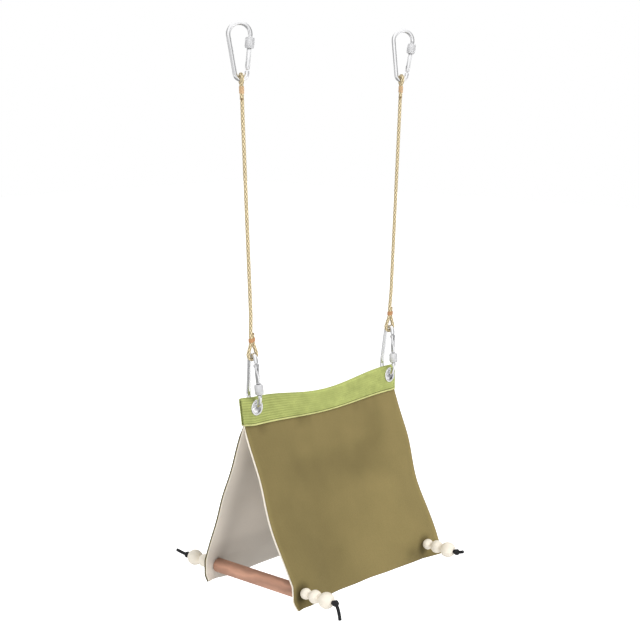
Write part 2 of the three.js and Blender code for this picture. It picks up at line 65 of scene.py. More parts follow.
CAD_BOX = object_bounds()
SIDES = (("left", -1), ("right", 1))
FACES = (("front", -1), ("back", 1))
BEAD_PLACES = ("inner", "middle", "outer")
MILLIMETRE = 0.001
# Room between neighbouring pieces
GAP = 0.0003


# Properties

def length(name, text, value):
    return bpy.props.FloatProperty(name=name, description=text, default=value, unit="LENGTH", precision=5)


def angle(name, text, degrees):
    value = math.radians(degrees)
    return bpy.props.FloatProperty(name=name, description=text, default=value, subtype="ANGLE")


def count(name, text, value):
    return bpy.props.IntProperty(name=name, description=text, default=value, min=1)


def linear(value):
    share = value / 255
    return share / 12.92 if share <= 0.04045 else ((share + 0.055) / 1.055) ** 2.4


def colour(name, text, red, green, blue):
    shade = (linear(red), linear(green), linear(blue))
    return bpy.props.FloatVectorProperty(
        name=name, description=text, subtype="COLOR", size=3, min=0, max=1, default=shade)


class BirdTentLine(bpy.types.PropertyGroup):
    """The two hanging lines from the bar down to the eyelets"""
    bar_spacing: length("Bar spacing", "Between the bows of the two top carabiners", 0.2194)
    eyelet_spacing: length("Eyelet spacing", "Between the middles of the two eyelets", 0.185)
    seat_drop: length("Seat drop", "Eyelet middle below the wire that carries it", 0.001)
    rope_diameter: length("Rope diameter", "Across the braided rope", 0.0032)
    rope_seat: length("Rope length", "From the seat of one eye to the seat of the other", 0.2384)
    eye_play: length("Eye play", "Room between rope and wire in an eye", 0.00055)
    strand_gap: length("Strand gap", "Room between the two strands of an eye", 0.0003)
    ease: length("Ease", "Length over which the rope comes back to its axis", 0.016)
    thread: length("Seizing thread", "Across the seizing thread", 0.00056)
    top_throat: length("Top throat", "From the wire's middle to the seizing of the top eye", 0.0054)
    top_seizing: length("Top seizing", "Length of the thread wrap on the top eye", 0.0064)
    top_tail: length("Top tail", "Cut end past the seizing of the top eye", 0.0045)
    top_twist: angle("Top twist", "Twist of the strands below the top wire", -15)
    lower_throat: length("Lower throat", "From the wire's middle to the seizing of the lower eye", 0.0108)
    lower_seizing: length("Lower seizing", "Length of the thread wrap on the lower eye", 0.004)
    lower_tail: length("Lower tail", "Cut end past the seizing of the lower eye", 0.0035)
    lower_twist: angle("Lower twist", "Twist of the strands above the lower wire", 31.6)


class BirdTentHook(bpy.types.PropertyGroup):
    """Screw-lock carabiner bent from wire"""
    length: length("Length", "Over the two bows", 0.05)
    width: length("Width", "Over the wide bow", 0.0226)
    neck: length("Neck width", "Over the narrow bow", 0.0142)
    wire: length("Wire", "Wire diameter", 0.004)
    nose: length("Nose", "Straight wire past the wide bow", 0.0008)
    lap: length("Lap", "Length of the lap joint between gate and nose", 0.0016)
    pivot: length("Pivot", "Rivet from the end of the narrow bow", 0.0045)
    gate_gap: length("Gate gap", "Between gate and nose", 0.0003)
    tongue_width: length("Tongue width", "Across the hinge tongue", 0.0032)
    tongue_thickness: length("Tongue thickness", "Thickness of the hinge tongue", 0.0014)
    tongue_reach: length("Tongue reach", "Hinge tongue past the rivet", 0.0019)
    shoulder_gap: length("Shoulder gap", "Between the gate's fork and the wire's shoulder", 0.0004)
    rivet: length("Rivet", "Rivet diameter", 0.0016)
    rivet_head: length("Rivet head", "Across a rivet head", 0.0026)
    rivet_height: length("Rivet head height", "Height of a rivet head", 0.00055)
    sleeve_length: length("Sleeve length", "Length of the lock sleeve", 0.009)
    sleeve_diameter: length("Sleeve diameter", "Across the lock sleeve", 0.008)
    sleeve_setback: length("Sleeve setback", "From the gate's end to the sleeve, unlocked", 0.0004)
    sleeve_play: length("Sleeve play", "Room between gate and sleeve", 0.0004)
    sleeve_flutes: count("Sleeve flutes", "Grip grooves round the lock sleeve", 20)
    top_yaw: angle("Top yaw", "Turn of the top carabiners about the line", -34)
    lower_yaw: angle("Lower yaw", "Turn of the lower carabiners about the line", 76.4)


class BirdTentCloth(bpy.types.PropertyGroup):
    """Band, canvas and lining"""
    band: length("Band thickness", "Thickness of the webbing", 0.0009)
    canvas: length("Canvas thickness", "Thickness of the canvas", 0.0006)
    lining: length("Lining thickness", "Thickness of the lining", 0.0004)
    band_height: length("Band height", "From the fold to the lower edge", 0.025)
    band_top: length("Band top", "Fold above the eyelets", 0.009)
    band_hem: length("Band hem", "Height of the rolled lower edge", 0.0017)
    band_roll: length("Band roll", "How far the rolled edge stands out", 0.0008)
    band_ribs: count("Band ribs", "Ribs on each side of the band", 10)
    band_rib: length("Rib height", "How far a rib stands out", 0.0003)
    ridge_left: length("Ridge left", "Left end of the band", -0.1095)
    ridge_right: length("Ridge right", "Right end of the band", 0.103)
    sag: length("Sag", "Sag of the band's lower edge between the eyelets", 0.0035)
    slump: length("Slump", "How far the fold sinks towards the lower edge between the eyelets", 0.0043)
    pinch: length("Pinch", "Length over which the band's ends are pressed together", 0.006)
    perk: length("Perk", "How far the band's left end stands up past the eyelet", 0.0014)
    slant_low: length("Lower slant", "How far the left end's lower corner is cut back", 0.0027)
    slant_high: length("Upper slant", "How far the left end's upper corner is cut back", -0.001)
    inset_left: length("Left inset", "Cloth set back inside the band's left end", 0.004)
    inset_right: length("Right inset", "Cloth set back inside the band's right end", 0.0008)
    drop: length("Panel drop", "From the band to the hem", 0.1556)
    patch_margin: length("Patch margin", "Flat cloth round a perch end", 0.002)
    fade: length("Perch fade", "How far along the ridge a perch holds the cloth", 0.055)
    fold: length("Fold depth", "Depth of the soft folds", 0.0012)
    edge: length("Proud edge", "How far one layer's edge shows past the other's", 0.0011)
    eyelet_bore: length("Eyelet bore", "Clear width of an eyelet", 0.0104)
    eyelet_flange: length("Eyelet flange", "Across an eyelet and its washer", 0.0144)
    eyelet_crown: length("Eyelet crown", "Height of an eyelet's rounded flange", 0.001)


class BirdTentPerch(bpy.types.PropertyGroup):
    """Perches, their cords and the beads"""
    diameter: length("Perch diameter", "Across a perch", 0.013)
    length: length("Perch length", "Length of a perch", 0.102)
    left: length("Left perch", "Place of the left perch along the ridge", -0.0885)
    right: length("Right perch", "Place of the right perch along the ridge", 0.0867)
    above_hem: length("Above hem", "Perch axis above the hem", 0.0144)
    cord: length("Cord diameter", "Across the elastic cord", 0.003)
    knot: length("Knot diameter", "Across a knot", 0.0062)
    bead_small: length("Inner bead", "Diameter of the bead at the cloth", 0.01)
    bead_middle: length("Middle bead", "Diameter of the second bead", 0.012)
    bead_large: length("Outer bead", "Diameter of the bead at the knot", 0.0145)
    bead_mouth: length("Bead mouth", "Flat round a bead's bore", 0.004)


class BirdTentFinish(bpy.types.PropertyGroup):
    """Colours of the finishes"""
    canvas: colour("Canvas", "Olive canvas", 137, 123, 81)
    lining: colour("Lining", "Off-white lining", 204, 197, 187)
    # Cream like the lining, and lighter as a painted highlight where the cut edge catches the light
    lit_cut_edge: colour("Cut edge", "Cream edge of the lining", 250, 242, 222)
    band: colour("Band", "Green webbing", 166, 174, 104)
    band_roll: colour("Band edge", "Rolled edge of the webbing", 200, 201, 136)
    rope: colour("Rope", "Tan-gold rope", 236, 217, 175)
    melted: colour("Melted rope", "Burnt end of the rope", 112, 84, 52)
    top_seizing: colour("Top seizing", "Pale tan thread on the top eyes", 204, 173, 136)
    lower_seizing: colour("Lower seizing", "Orange-brown thread on the lower eyes", 192, 145, 104)
    perch: colour("Perch", "Reddish stained wood", 222, 168, 141)
    bead: colour("Bead", "Natural wood", 240, 232, 217)
    cord: colour("Cord", "Black elastic", 42, 43, 46)
    metal: colour("Metal", "Bright zinc", 240, 240, 241)


# Layout shared by the pieces

def smooth_step(value, low, high):
    share = min(1.0, max(0.0, (value - low) / (high - low)))
    return share * share * (3 - 2 * share)


def mix(low, high, share):
    return low + (high - low) * share


def layout():
    """The settings and the places that follow from them"""
    scene = bpy.context.scene
    line, hook, cloth, perch = (
        scene.birdtent_line, scene.birdtent_hook, scene.birdtent_cloth, scene.birdtent_perch)
    out = SimpleNamespace(line=line, hook=hook, cloth=cloth, perch=perch, finish=scene.birdtent_finish)

    # Carabiner, with the wide bow's seat at the origin
    out.wire = hook.wire / 2
    out.wide = (hook.width - hook.wire) / 2
    out.neck = (hook.neck - hook.wire) / 2
    out.wide_centre = out.wire - out.wide
    out.neck_wire = 1.5 * hook.wire - hook.length
    out.neck_centre = out.neck_wire + out.neck
    out.tilt = math.asin((out.wide - out.neck) / (out.wide_centre - out.neck_centre))
    side = (out.wide_centre - out.neck_centre) * math.cos(out.tilt)
    out.gate = side - hook.nose - hook.gate_gap - hook.pivot
    out.along = Vector((math.sin(out.tilt), 0, math.cos(out.tilt)))
    out.neck_end = Vector((
        out.neck * math.cos(out.tilt), 0, out.neck_centre - out.neck * math.sin(out.tilt)))
    out.pivot = out.neck_end + out.along * hook.pivot

    # Hanging line
    lower_neck_wire = out.neck_wire - (line.rope_seat - hook.wire)
    out.eyes = {}
    for end, level, away in (("top", out.neck_wire, -1), ("lower", lower_neck_wire, 1)):
        sizes = {key: getattr(line, f"{end}_{key}") for key in ("twist", "throat", "seizing", "tail")}
        yaw = getattr(hook, f"{end}_yaw") - math.pi / 2
        out.eyes[end] = SimpleNamespace(level=level, away=away, yaw=yaw, **sizes)
    out.strand = (line.rope_diameter + line.strand_gap) / 2
    out.length = -lower_neck_wire + hook.length - hook.wire
    out.lean = math.asin((line.bar_spacing - line.eyelet_spacing) / 2 / out.length)
    out.eyelets = -out.length * math.cos(out.lean) - line.seat_drop
    out.eyelet = line.eyelet_spacing / 2

    # Layers of cloth at the ridge, and the flat places where the perches hold them
    out.band_bottom = cloth.band_top - cloth.band_height
    out.lining_face = GAP / 2
    out.canvas_face = out.lining_face + cloth.lining + GAP
    out.band_outer = out.canvas_face + cloth.canvas + GAP + cloth.band
    out.perch_level = out.band_bottom - cloth.drop + perch.above_hem
    out.perches = (("left", perch.left), ("right", perch.right))
    out.perch_panel = perch.length / 2 + GAP
    out.patch_half = perch.diameter / 2 + cloth.patch_margin
    half = perch.diameter / 2 + GAP
    out.perch_down = (out.band_bottom - out.perch_level) / cloth.drop
    out.patch_top = out.perch_down - half / cloth.drop
    out.patch_end = out.perch_down + half / cloth.drop

    # Beads as (diameter, half length, place), from the cloth outwards, and the knot behind them
    out.bore = perch.cord / 2 + GAP
    out.beads = []
    edge = out.perch_panel + out.canvas_face - out.lining_face + cloth.canvas + GAP
    for diameter in (perch.bead_small, perch.bead_middle, perch.bead_large):
        reach = math.sqrt((diameter / 2) ** 2 - (perch.bead_mouth / 2) ** 2)
        out.beads.append((diameter, reach, edge + reach))
        edge += 2 * reach + GAP
    out.knot = edge + perch.knot / 2
    return out


def line_matrix(at, sign):
    place = Matrix.Translation((sign * at.line.bar_spacing / 2, 0, 0))
    return place @ Matrix.Rotation(sign * at.lean, 4, "Y")


def hook_matrix(at, place, sign):
    line = line_matrix(at, sign)
    if place == "top":
        return line @ Matrix.Rotation(at.hook.top_yaw, 4, "Z")
    drop = Matrix.Translation((0, 0, at.wire - at.length))
    return line @ drop @ Matrix.Rotation(at.hook.lower_yaw, 4, "Z") @ Matrix.Rotation(math.pi, 4, "Y")


def gate_matrix(at):
    return Matrix.Translation(at.pivot) @ Matrix.Rotation(at.tilt, 4, "Y")


# Mesh helpers

def piece(name, bm, material, body, nodes=(), sharp=40, pose=None):
    """Make an object of a mesh, set in its pose, that rides on a body and replaces CAD nodes"""
    if pose is not None:
        bmesh.ops.transform(bm, matrix=pose, verts=bm.verts)
    mesh = bpy.data.meshes.new(name)
    bm.to_mesh(mesh)
    bm.free()
    mesh.shade_smooth()
    mesh.set_sharp_from_angle(angle=math.radians(sharp))
    mesh.materials.append(material)
    made = bpy.data.objects.new(name, mesh)
    bpy.context.scene.collection.objects.link(made)
    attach(made, body)
    if nodes:
        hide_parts(*nodes)
    return made


def only(kind, geom):
    return [part for part in geom if isinstance(part, kind)]


def circle(bm, radius, sides, pose):
    return bmesh.ops.create_circle(bm, cap_ends=False, radius=radius, segments=sides, matrix=pose)["verts"]


def ring_edges(ring):
    inside = set(ring)
    return [edge for edge in {e for v in ring for e in v.link_edges} if set(edge.verts) <= inside]


def facing_out(bm):
    bmesh.ops.remove_doubles(bm, verts=bm.verts, dist=1e-7)
    bmesh.ops.recalc_face_normals(bm, faces=bm.faces)


def turn(profile, axis, steps, closed=True):
    """Spin a profile of (radius, height) pairs a full turn about an axis through the origin"""
    bm = bmesh.new()
    across = Vector((1, 0, 0))
    along = Vector((0, 1, 0)) if axis == "Y" else Vector((0, 0, 1))
    verts = [bm.verts.new(across * radius + along * height) for radius, height in profile]
    edges = [bm.edges.new(pair) for pair in zip(verts, verts[1:])]
    if closed:
        edges.append(bm.edges.new((verts[-1], verts[0])))
    bmesh.ops.spin(bm, geom=verts + edges, cent=(0, 0, 0), axis=along, angle=2 * math.pi, steps=steps,
                   use_merge=True, use_duplicate=False)
    facing_out(bm)
    return bm


def arc(radius, centre, start, stop, steps):
    """Points of an arc as (radius, height) pairs, angles in degrees"""
    turns = [math.radians(mix(start, stop, i / steps)) for i in range(steps + 1)]
    return [(centre[0] + radius * math.cos(a), centre[1] + radius * math.sin(a)) for a in turns]


def mirrored(half):
    """A half profile and its copy below"""
    return half + [(radius, -height) for radius, height in reversed(half)]


def rounded(points, per_span):
    """A smooth path through points"""
    path = []
    last = len(points) - 1
    for i in range(last):
        a, b, c, d = (points[max(0, min(last, i + k))] for k in (-1, 0, 1, 2))
        for k in range(per_span):
            t = k / per_span
            path.append(0.5 * (2 * b + (c - a) * t + (2 * a - 5 * b + 4 * c - d) * t ** 2
                               + (3 * b - a - 3 * c + d) * t ** 3))
    path.append(points[-1])
    return path


def path_length(path):
    return sum((b - a).length for a, b in zip(path, path[1:]))


def sweep(path, radius, sides):
    """Rings on a path bridged into a tube; its UV map runs once around and in metres along"""
    bm = bmesh.new()
    uv = bm.loops.layers.uv.verify()
    rings = []
    place = {}
    before = None
    run = 0.0
    last = len(path) - 1
    for i, point in enumerate(path):
        heading = (path[min(i + 1, last)] - path[max(i - 1, 0)]).normalized()
        if before is None:
            across = heading.orthogonal().normalized()
        else:
            across = before.rotation_difference(heading) @ across
            run += (point - path[i - 1]).length
        across = (across - heading * across.dot(heading)).normalized()
        before = heading
        basis = Matrix((across, heading.cross(across), heading)).transposed().to_4x4()
        basis.translation = point
        rings.append(circle(bm, radius, sides, basis))
        place.update((vert, (k, run)) for k, vert in enumerate(rings[-1]))
    for first, second in zip(rings, rings[1:]):
        for face in bmesh.ops.bridge_loops(bm, edges=ring_edges(first) + ring_edges(second))["faces"]:
            turns = [place[loop.vert][0] for loop in face.loops]
            wraps = max(turns) - min(turns) > sides / 2
            for loop in face.loops:
                k, along = place[loop.vert]
                loop[uv].uv = ((sides if wraps and k < sides / 2 else k) / sides, along)
    for ring in (rings[0], rings[-1]):
        bmesh.ops.contextual_create(bm, geom=ring_edges(ring))
    bmesh.ops.recalc_face_normals(bm, faces=bm.faces)
    return bm


# Node helpers

def feed(tree, socket, value):
    """Link a socket to an output, or set it to a plain value"""
    if isinstance(value, bpy.types.NodeSocket):
        tree.links.new(value, socket)
    else:
        socket.default_value = value


def add(tree, kind, inputs=None, **settings):
    node = tree.nodes.new(kind)
    for key, value in settings.items():
        setattr(node, key, value)
    for key, value in (inputs or {}).items():
        feed(tree, node.inputs[key], value)
    return node


def maths(tree, operation, first, second=0.0):
    return add(tree, "ShaderNodeMath", {0: first, 1: second}, operation=operation).outputs[0]


def ridges(tree, turns):
    """Round ridges side by side, one for each half turn"""
    return maths(tree, "ABSOLUTE", maths(tree, "SINE", turns))


def vectors(tree, operation, first, inputs, output=0):
    return add(tree, "ShaderNodeVectorMath", {0: first, **inputs}, operation=operation).outputs[output]


def parted(tree, vector):
    return add(tree, "ShaderNodeSeparateXYZ", {0: vector}).outputs


def ramp(tree, value, low, high, start, stop):
    """Carry a value from the range low to high over to the range start to stop"""
    return add(tree, "ShaderNodeMapRange", {
        "Value": value, "From Min": low, "From Max": high, "To Min": start, "To Max": stop}).outputs[0]


def speckle(tree, vector, scale, detail):
    return add(tree, "ShaderNodeTexNoise", {"Vector": vector, "Scale": scale, "Detail": detail}).outputs


def coordinates(tree, kind):
    return add(tree, "ShaderNodeTexCoord").outputs[kind]


def blend_colours(tree, share, first, second):
    return add(tree, "ShaderNodeMix", {0: share, 6: first, 7: second}, data_type="RGBA").outputs[2]


def blend_shaders(tree, share, first, second):
    return add(tree, "ShaderNodeMixShader", {0: share, 1: first, 2: second}).outputs[0]


def open_group(name, **inputs):
    """A node group that is fed with a vector and with numbers"""
    tree = bpy.data.node_groups.new(name, "ShaderNodeTree")
    tree.interface.new_socket("Vector", in_out="INPUT", socket_type="NodeSocketVector")
    for label, value in inputs.items():
        tree.interface.new_socket(label, in_out="INPUT", socket_type="NodeSocketFloat").default_value = value
    return tree, tree.nodes.new("NodeGroupInput").outputs


def close_group(tree, **outputs):
    for label in outputs:
        tree.interface.new_socket(label, in_out="OUTPUT", socket_type="NodeSocketFloat")
    result = tree.nodes.new("NodeGroupOutput").inputs
    for label, value in outputs.items():
        tree.links.new(value, result[label])
    return tree


def weave_group():
    """Plain weave: threads over and under each other on a UV map in metres"""
    tree, given = open_group("Plain weave", Pitch=0.001)
    axes = parted(tree, given["Vector"])
    waves = []
    for axis in (0, 1):
        turns = maths(tree, "DIVIDE", axes[axis], given["Pitch"])
        waves.append(maths(tree, "SINE", maths(tree, "MULTIPLY", turns, math.pi)))
    over = maths(tree, "GREATER_THAN", maths(tree, "MULTIPLY", waves[0], waves[1]), 0.0)
    warp, weft = (maths(tree, "ABSOLUTE", wave) for wave in waves)
    lifted = add(tree, "ShaderNodeMix", {0: over, 2: warp, 3: weft}, data_type="FLOAT").outputs[0]
    hollow = maths(tree, "SUBTRACT", 1.0, maths(tree, "MINIMUM", warp, weft))
    return close_group(tree, Height=lifted, Hollow=hollow)


def braid_group():
    """Strands crossing both ways round a cord; the UV map runs once around and in metres along"""
    tree, given = open_group("Braid", Strands=4.0, Pitch=0.004)
    axes = parted(tree, given["Vector"])
    around = maths(tree, "MULTIPLY", axes[0], given["Strands"])
    along = maths(tree, "DIVIDE", axes[1], given["Pitch"])
    waves = []
    for operation in ("ADD", "SUBTRACT"):
        turns = maths(tree, "MULTIPLY", maths(tree, operation, around, along), math.pi)
        waves.append(ridges(tree, turns))
    height = maths(tree, "MULTIPLY", waves[0], waves[1])
    hollow = maths(tree, "SUBTRACT", 1.0, height)
    return close_group(tree, Height=maths(tree, "POWER", height, 0.5), Hollow=hollow)


def patch_group():
    """Slow change of tone over a surface"""
    tree, given = open_group("Patchy tone", Scale=30.0, Strength=0.1)
    spots = speckle(tree, given["Vector"], given["Scale"], detail=4.0)
    swing = maths(tree, "SUBTRACT", spots[0], 0.5)
    return close_group(tree, Tone=maths(tree, "MULTIPLY", swing, given["Strength"]))


def grain_group():
    """Wood fibres that run along Y, with growth rings across"""
    tree, given = open_group("Wood grain", Rings=60.0, Fibres=900.0)
    bent = speckle(tree, given["Vector"], scale=35.0, detail=2.0)
    shift = vectors(tree, "SCALE", bent[1], {"Scale": 0.012})
    moved = vectors(tree, "ADD", given["Vector"], {1: shift})
    squeezed = add(tree, "ShaderNodeMapping", {"Vector": moved, "Scale": (1.0, 0.08, 1.0)}).outputs[0]
    rings = add(tree, "ShaderNodeTexWave", {
        "Vector": squeezed, "Scale": given["Rings"], "Distortion": 3.0, "Detail": 2.0},
        bands_direction="DIAGONAL")
    fibres = speckle(tree, squeezed, given["Fibres"], detail=3.0)
    return close_group(tree, Ring=rings.outputs["Fac"], Fibre=fibres[0])


GROUPS = {}


def shared(tree, make, **inputs):
    """Outputs of a shared node group, which is made when it is first used"""
    if make not in GROUPS:
        GROUPS[make] = make()
    return add(tree, "ShaderNodeGroup", inputs, node_tree=GROUPS[make]).outputs


# Materials

def start_material(name, roughness, metallic=0.0, gloss=0.5):
    material = bpy.data.materials.new(name)
    material.use_nodes = True
    shader = material.node_tree.nodes["Principled BSDF"]
    for key, value in (("Roughness", roughness), ("Metallic", metallic), ("Specular IOR Level", gloss)):
        shader.inputs[key].default_value = value
    return material, material.node_tree, shader


def darker(base, share):
    return tuple(channel * share for channel in base)


def shade(tree, base, dark, share):
    return blend_colours(tree, share, (*base, 1), (*dark, 1))


def bump(tree, shader, height, strength, distance):
    node = add(tree, "ShaderNodeBump", {"Height": height, "Strength": strength, "Distance": distance})
    tree.links.new(node.outputs[0], shader.inputs["Normal"])


def paint(tree, shader, base, tone):
    """Give a shader a colour that is lifted or lowered by a signed tone"""
    value = maths(tree, "ADD", tone, 1.0)
    lifted = add(tree, "ShaderNodeHueSaturation", {"Color": base, "Value": value})
    tree.links.new(lifted.outputs[0], shader.inputs["Base Color"])


def patches(tree, vector, scale, strength):
    return shared(tree, patch_group, Vector=vector, Scale=scale, Strength=strength)["Tone"]


def cloth_tone(tree, uv, scale, patchy):
    """Painted light and shade, with some random tone, kept with the mesh, and slow random patches over them
    """
    kept = add(tree, "ShaderNodeAttribute", attribute_name="tone").outputs["Fac"]
    return maths(tree, "ADD", patches(tree, uv, scale, patchy), kept)


def cloth_material(name, base, pitch, depth, contrast, patchy):
    material, tree, shader = start_material(name, 0.95, gloss=0.1)
    uv = coordinates(tree, "UV")
    threads = shared(tree, weave_group, Vector=uv, Pitch=pitch)
    # Painted shade in the hollows between the threads
    hollow_shaded_weave = shade(tree, base, darker(base, 1 - contrast), threads["Hollow"])
    slow = cloth_tone(tree, uv, scale=30.0, patchy=patchy)
    quick = patches(tree, uv, scale=700.0, strength=0.5 * patchy)
    paint(tree, shader, hollow_shaded_weave, maths(tree, "ADD", slow, quick))
    bump(tree, shader, threads["Height"], strength=0.5, distance=depth)
    return material


def band_material(base, roll, cloth, flat):
    """Ribbed webbing with paler rolled edges; painted shade darkens the rib grooves, less towards the right
    end where the ribs lie flatter, and a line of painted shade runs in the groove beside each rolled edge
    """
    weft_pitch = 0.0011
    # Where the painted shade in the rib grooves is full and where it is faint, and the width of the painted
    # groove line beside each rolled edge
    rib_shade_full = 0.03
    rib_shade_faint = 0.1
    roll_groove = 0.0004
    material, tree, shader = start_material("ribbed_webbing", 0.9, gloss=0.15)
    uv = coordinates(tree, "UV")
    along, up = parted(tree, uv)[:2]
    weft = ridges(tree, maths(tree, "MULTIPLY", along, 2 * math.pi / weft_pitch))
    pitch = (cloth.band_height - cloth.band_hem) / cloth.band_ribs
    across = maths(tree, "MULTIPLY", maths(tree, "SUBTRACT", up, cloth.band_hem), math.pi / pitch)
    groove = maths(tree, "SUBTRACT", 1.0, ridges(tree, across))
    # Painted shade in the rib grooves, full near the left end and fading to a quarter further right
    clear = ramp(tree, along, rib_shade_full, rib_shade_faint, 1.0, 0.25)
    depth = maths(tree, "MULTIPLY", maths(tree, "POWER", groove, 2.0), clear)
    groove_shaded_ribs = shade(tree, base, darker(base, 0.62), depth)
    edge = maths(tree, "MINIMUM", up, maths(tree, "SUBTRACT", flat, up))
    # Painted shade: a dark line in the groove beside each rolled edge
    beside = maths(tree, "ABSOLUTE", maths(tree, "SUBTRACT", edge, cloth.band_hem + roll_groove))
    lined = blend_colours(tree, maths(tree, "LESS_THAN", beside, roll_groove), groove_shaded_ribs, (*darker(base, 0.45), 1))
    rolled = blend_colours(tree, maths(tree, "LESS_THAN", edge, cloth.band_hem), lined, (*roll, 1))
    paint(tree, shader, rolled, cloth_tone(tree, uv, scale=40.0, patchy=0.2))
    bump(tree, shader, weft, strength=0.45, distance=0.00025)
    return material


def braid_material(name, base, strands, pitch, dark, depth, roughness):
    material, tree, shader = start_material(name, roughness, gloss=0.25)
    strand = shared(tree, braid_group, Vector=coordinates(tree, "UV"), Strands=strands, Pitch=pitch)
    # Painted shade in the hollows between the strands
    hollow_shaded_braid = shade(tree, base, darker(base, dark), maths(tree, "POWER", strand["Hollow"], 1.5))
    paint(tree, shader, hollow_shaded_braid, patches(tree, coordinates(tree, "Object"), scale=120.0, strength=0.2))
    bump(tree, shader, strand["Height"], strength=0.8, distance=depth)
    return material


def thread_material(name, base):
    material, tree, shader = start_material(name, 0.8, gloss=0.25)
    fine = patches(tree, coordinates(tree, "Object"), scale=700.0, strength=0.5)
    paint(tree, shader, (*base, 1), fine)
    bump(tree, shader, fine, strength=0.3, distance=0.0002)
    return material


def wood_material(name, base, dark, rings, fibres, roughness, contrast, ends):
    """Grained wood; painted shade darkens places further than ends from the middle of the tent, where the
    perch ends lie in the panels' shade
    """
    end_shade_over = 0.025
    end_shade_tone = -0.4
    rough_swing = 0.15
    material, tree, shader = start_material(name, roughness)
    place = coordinates(tree, "Object")
    out = maths(tree, "ABSOLUTE", parted(tree, place)[1])
    # Painted shade at the perch ends
    end_shade = ramp(tree, out, ends, ends + end_shade_over, 0.0, end_shade_tone)
    grain = shared(tree, grain_group, Vector=place, Rings=rings, Fibres=fibres)
    ringed = shade(tree, base, dark, maths(tree, "MULTIPLY", grain["Ring"], contrast))
    fibred = blend_colours(tree, maths(tree, "MULTIPLY", grain["Fibre"], contrast), ringed, (*dark, 1))
    slow = patches(tree, place, scale=60.0, strength=0.15)
    paint(tree, shader, fibred, maths(tree, "ADD", slow, end_shade))
    rough = maths(tree, "ADD", maths(tree, "MULTIPLY", grain["Fibre"], rough_swing), roughness - 0.07)
    tree.links.new(rough, shader.inputs["Roughness"])
    bump(tree, shader, grain["Fibre"], strength=0.15, distance=0.0003)
    return material


def metal_material(name, base, roughness):
    material, tree, shader = start_material(name, roughness, metallic=1.0)
    place = coordinates(tree, "Object")
    paint(tree, shader, (*base, 1), patches(tree, place, scale=160.0, strength=0.12))
    rough = maths(tree, "ADD", patches(tree, place, scale=900.0, strength=0.1), roughness)
    tree.links.new(rough, shader.inputs["Roughness"])
    return material


# Operators

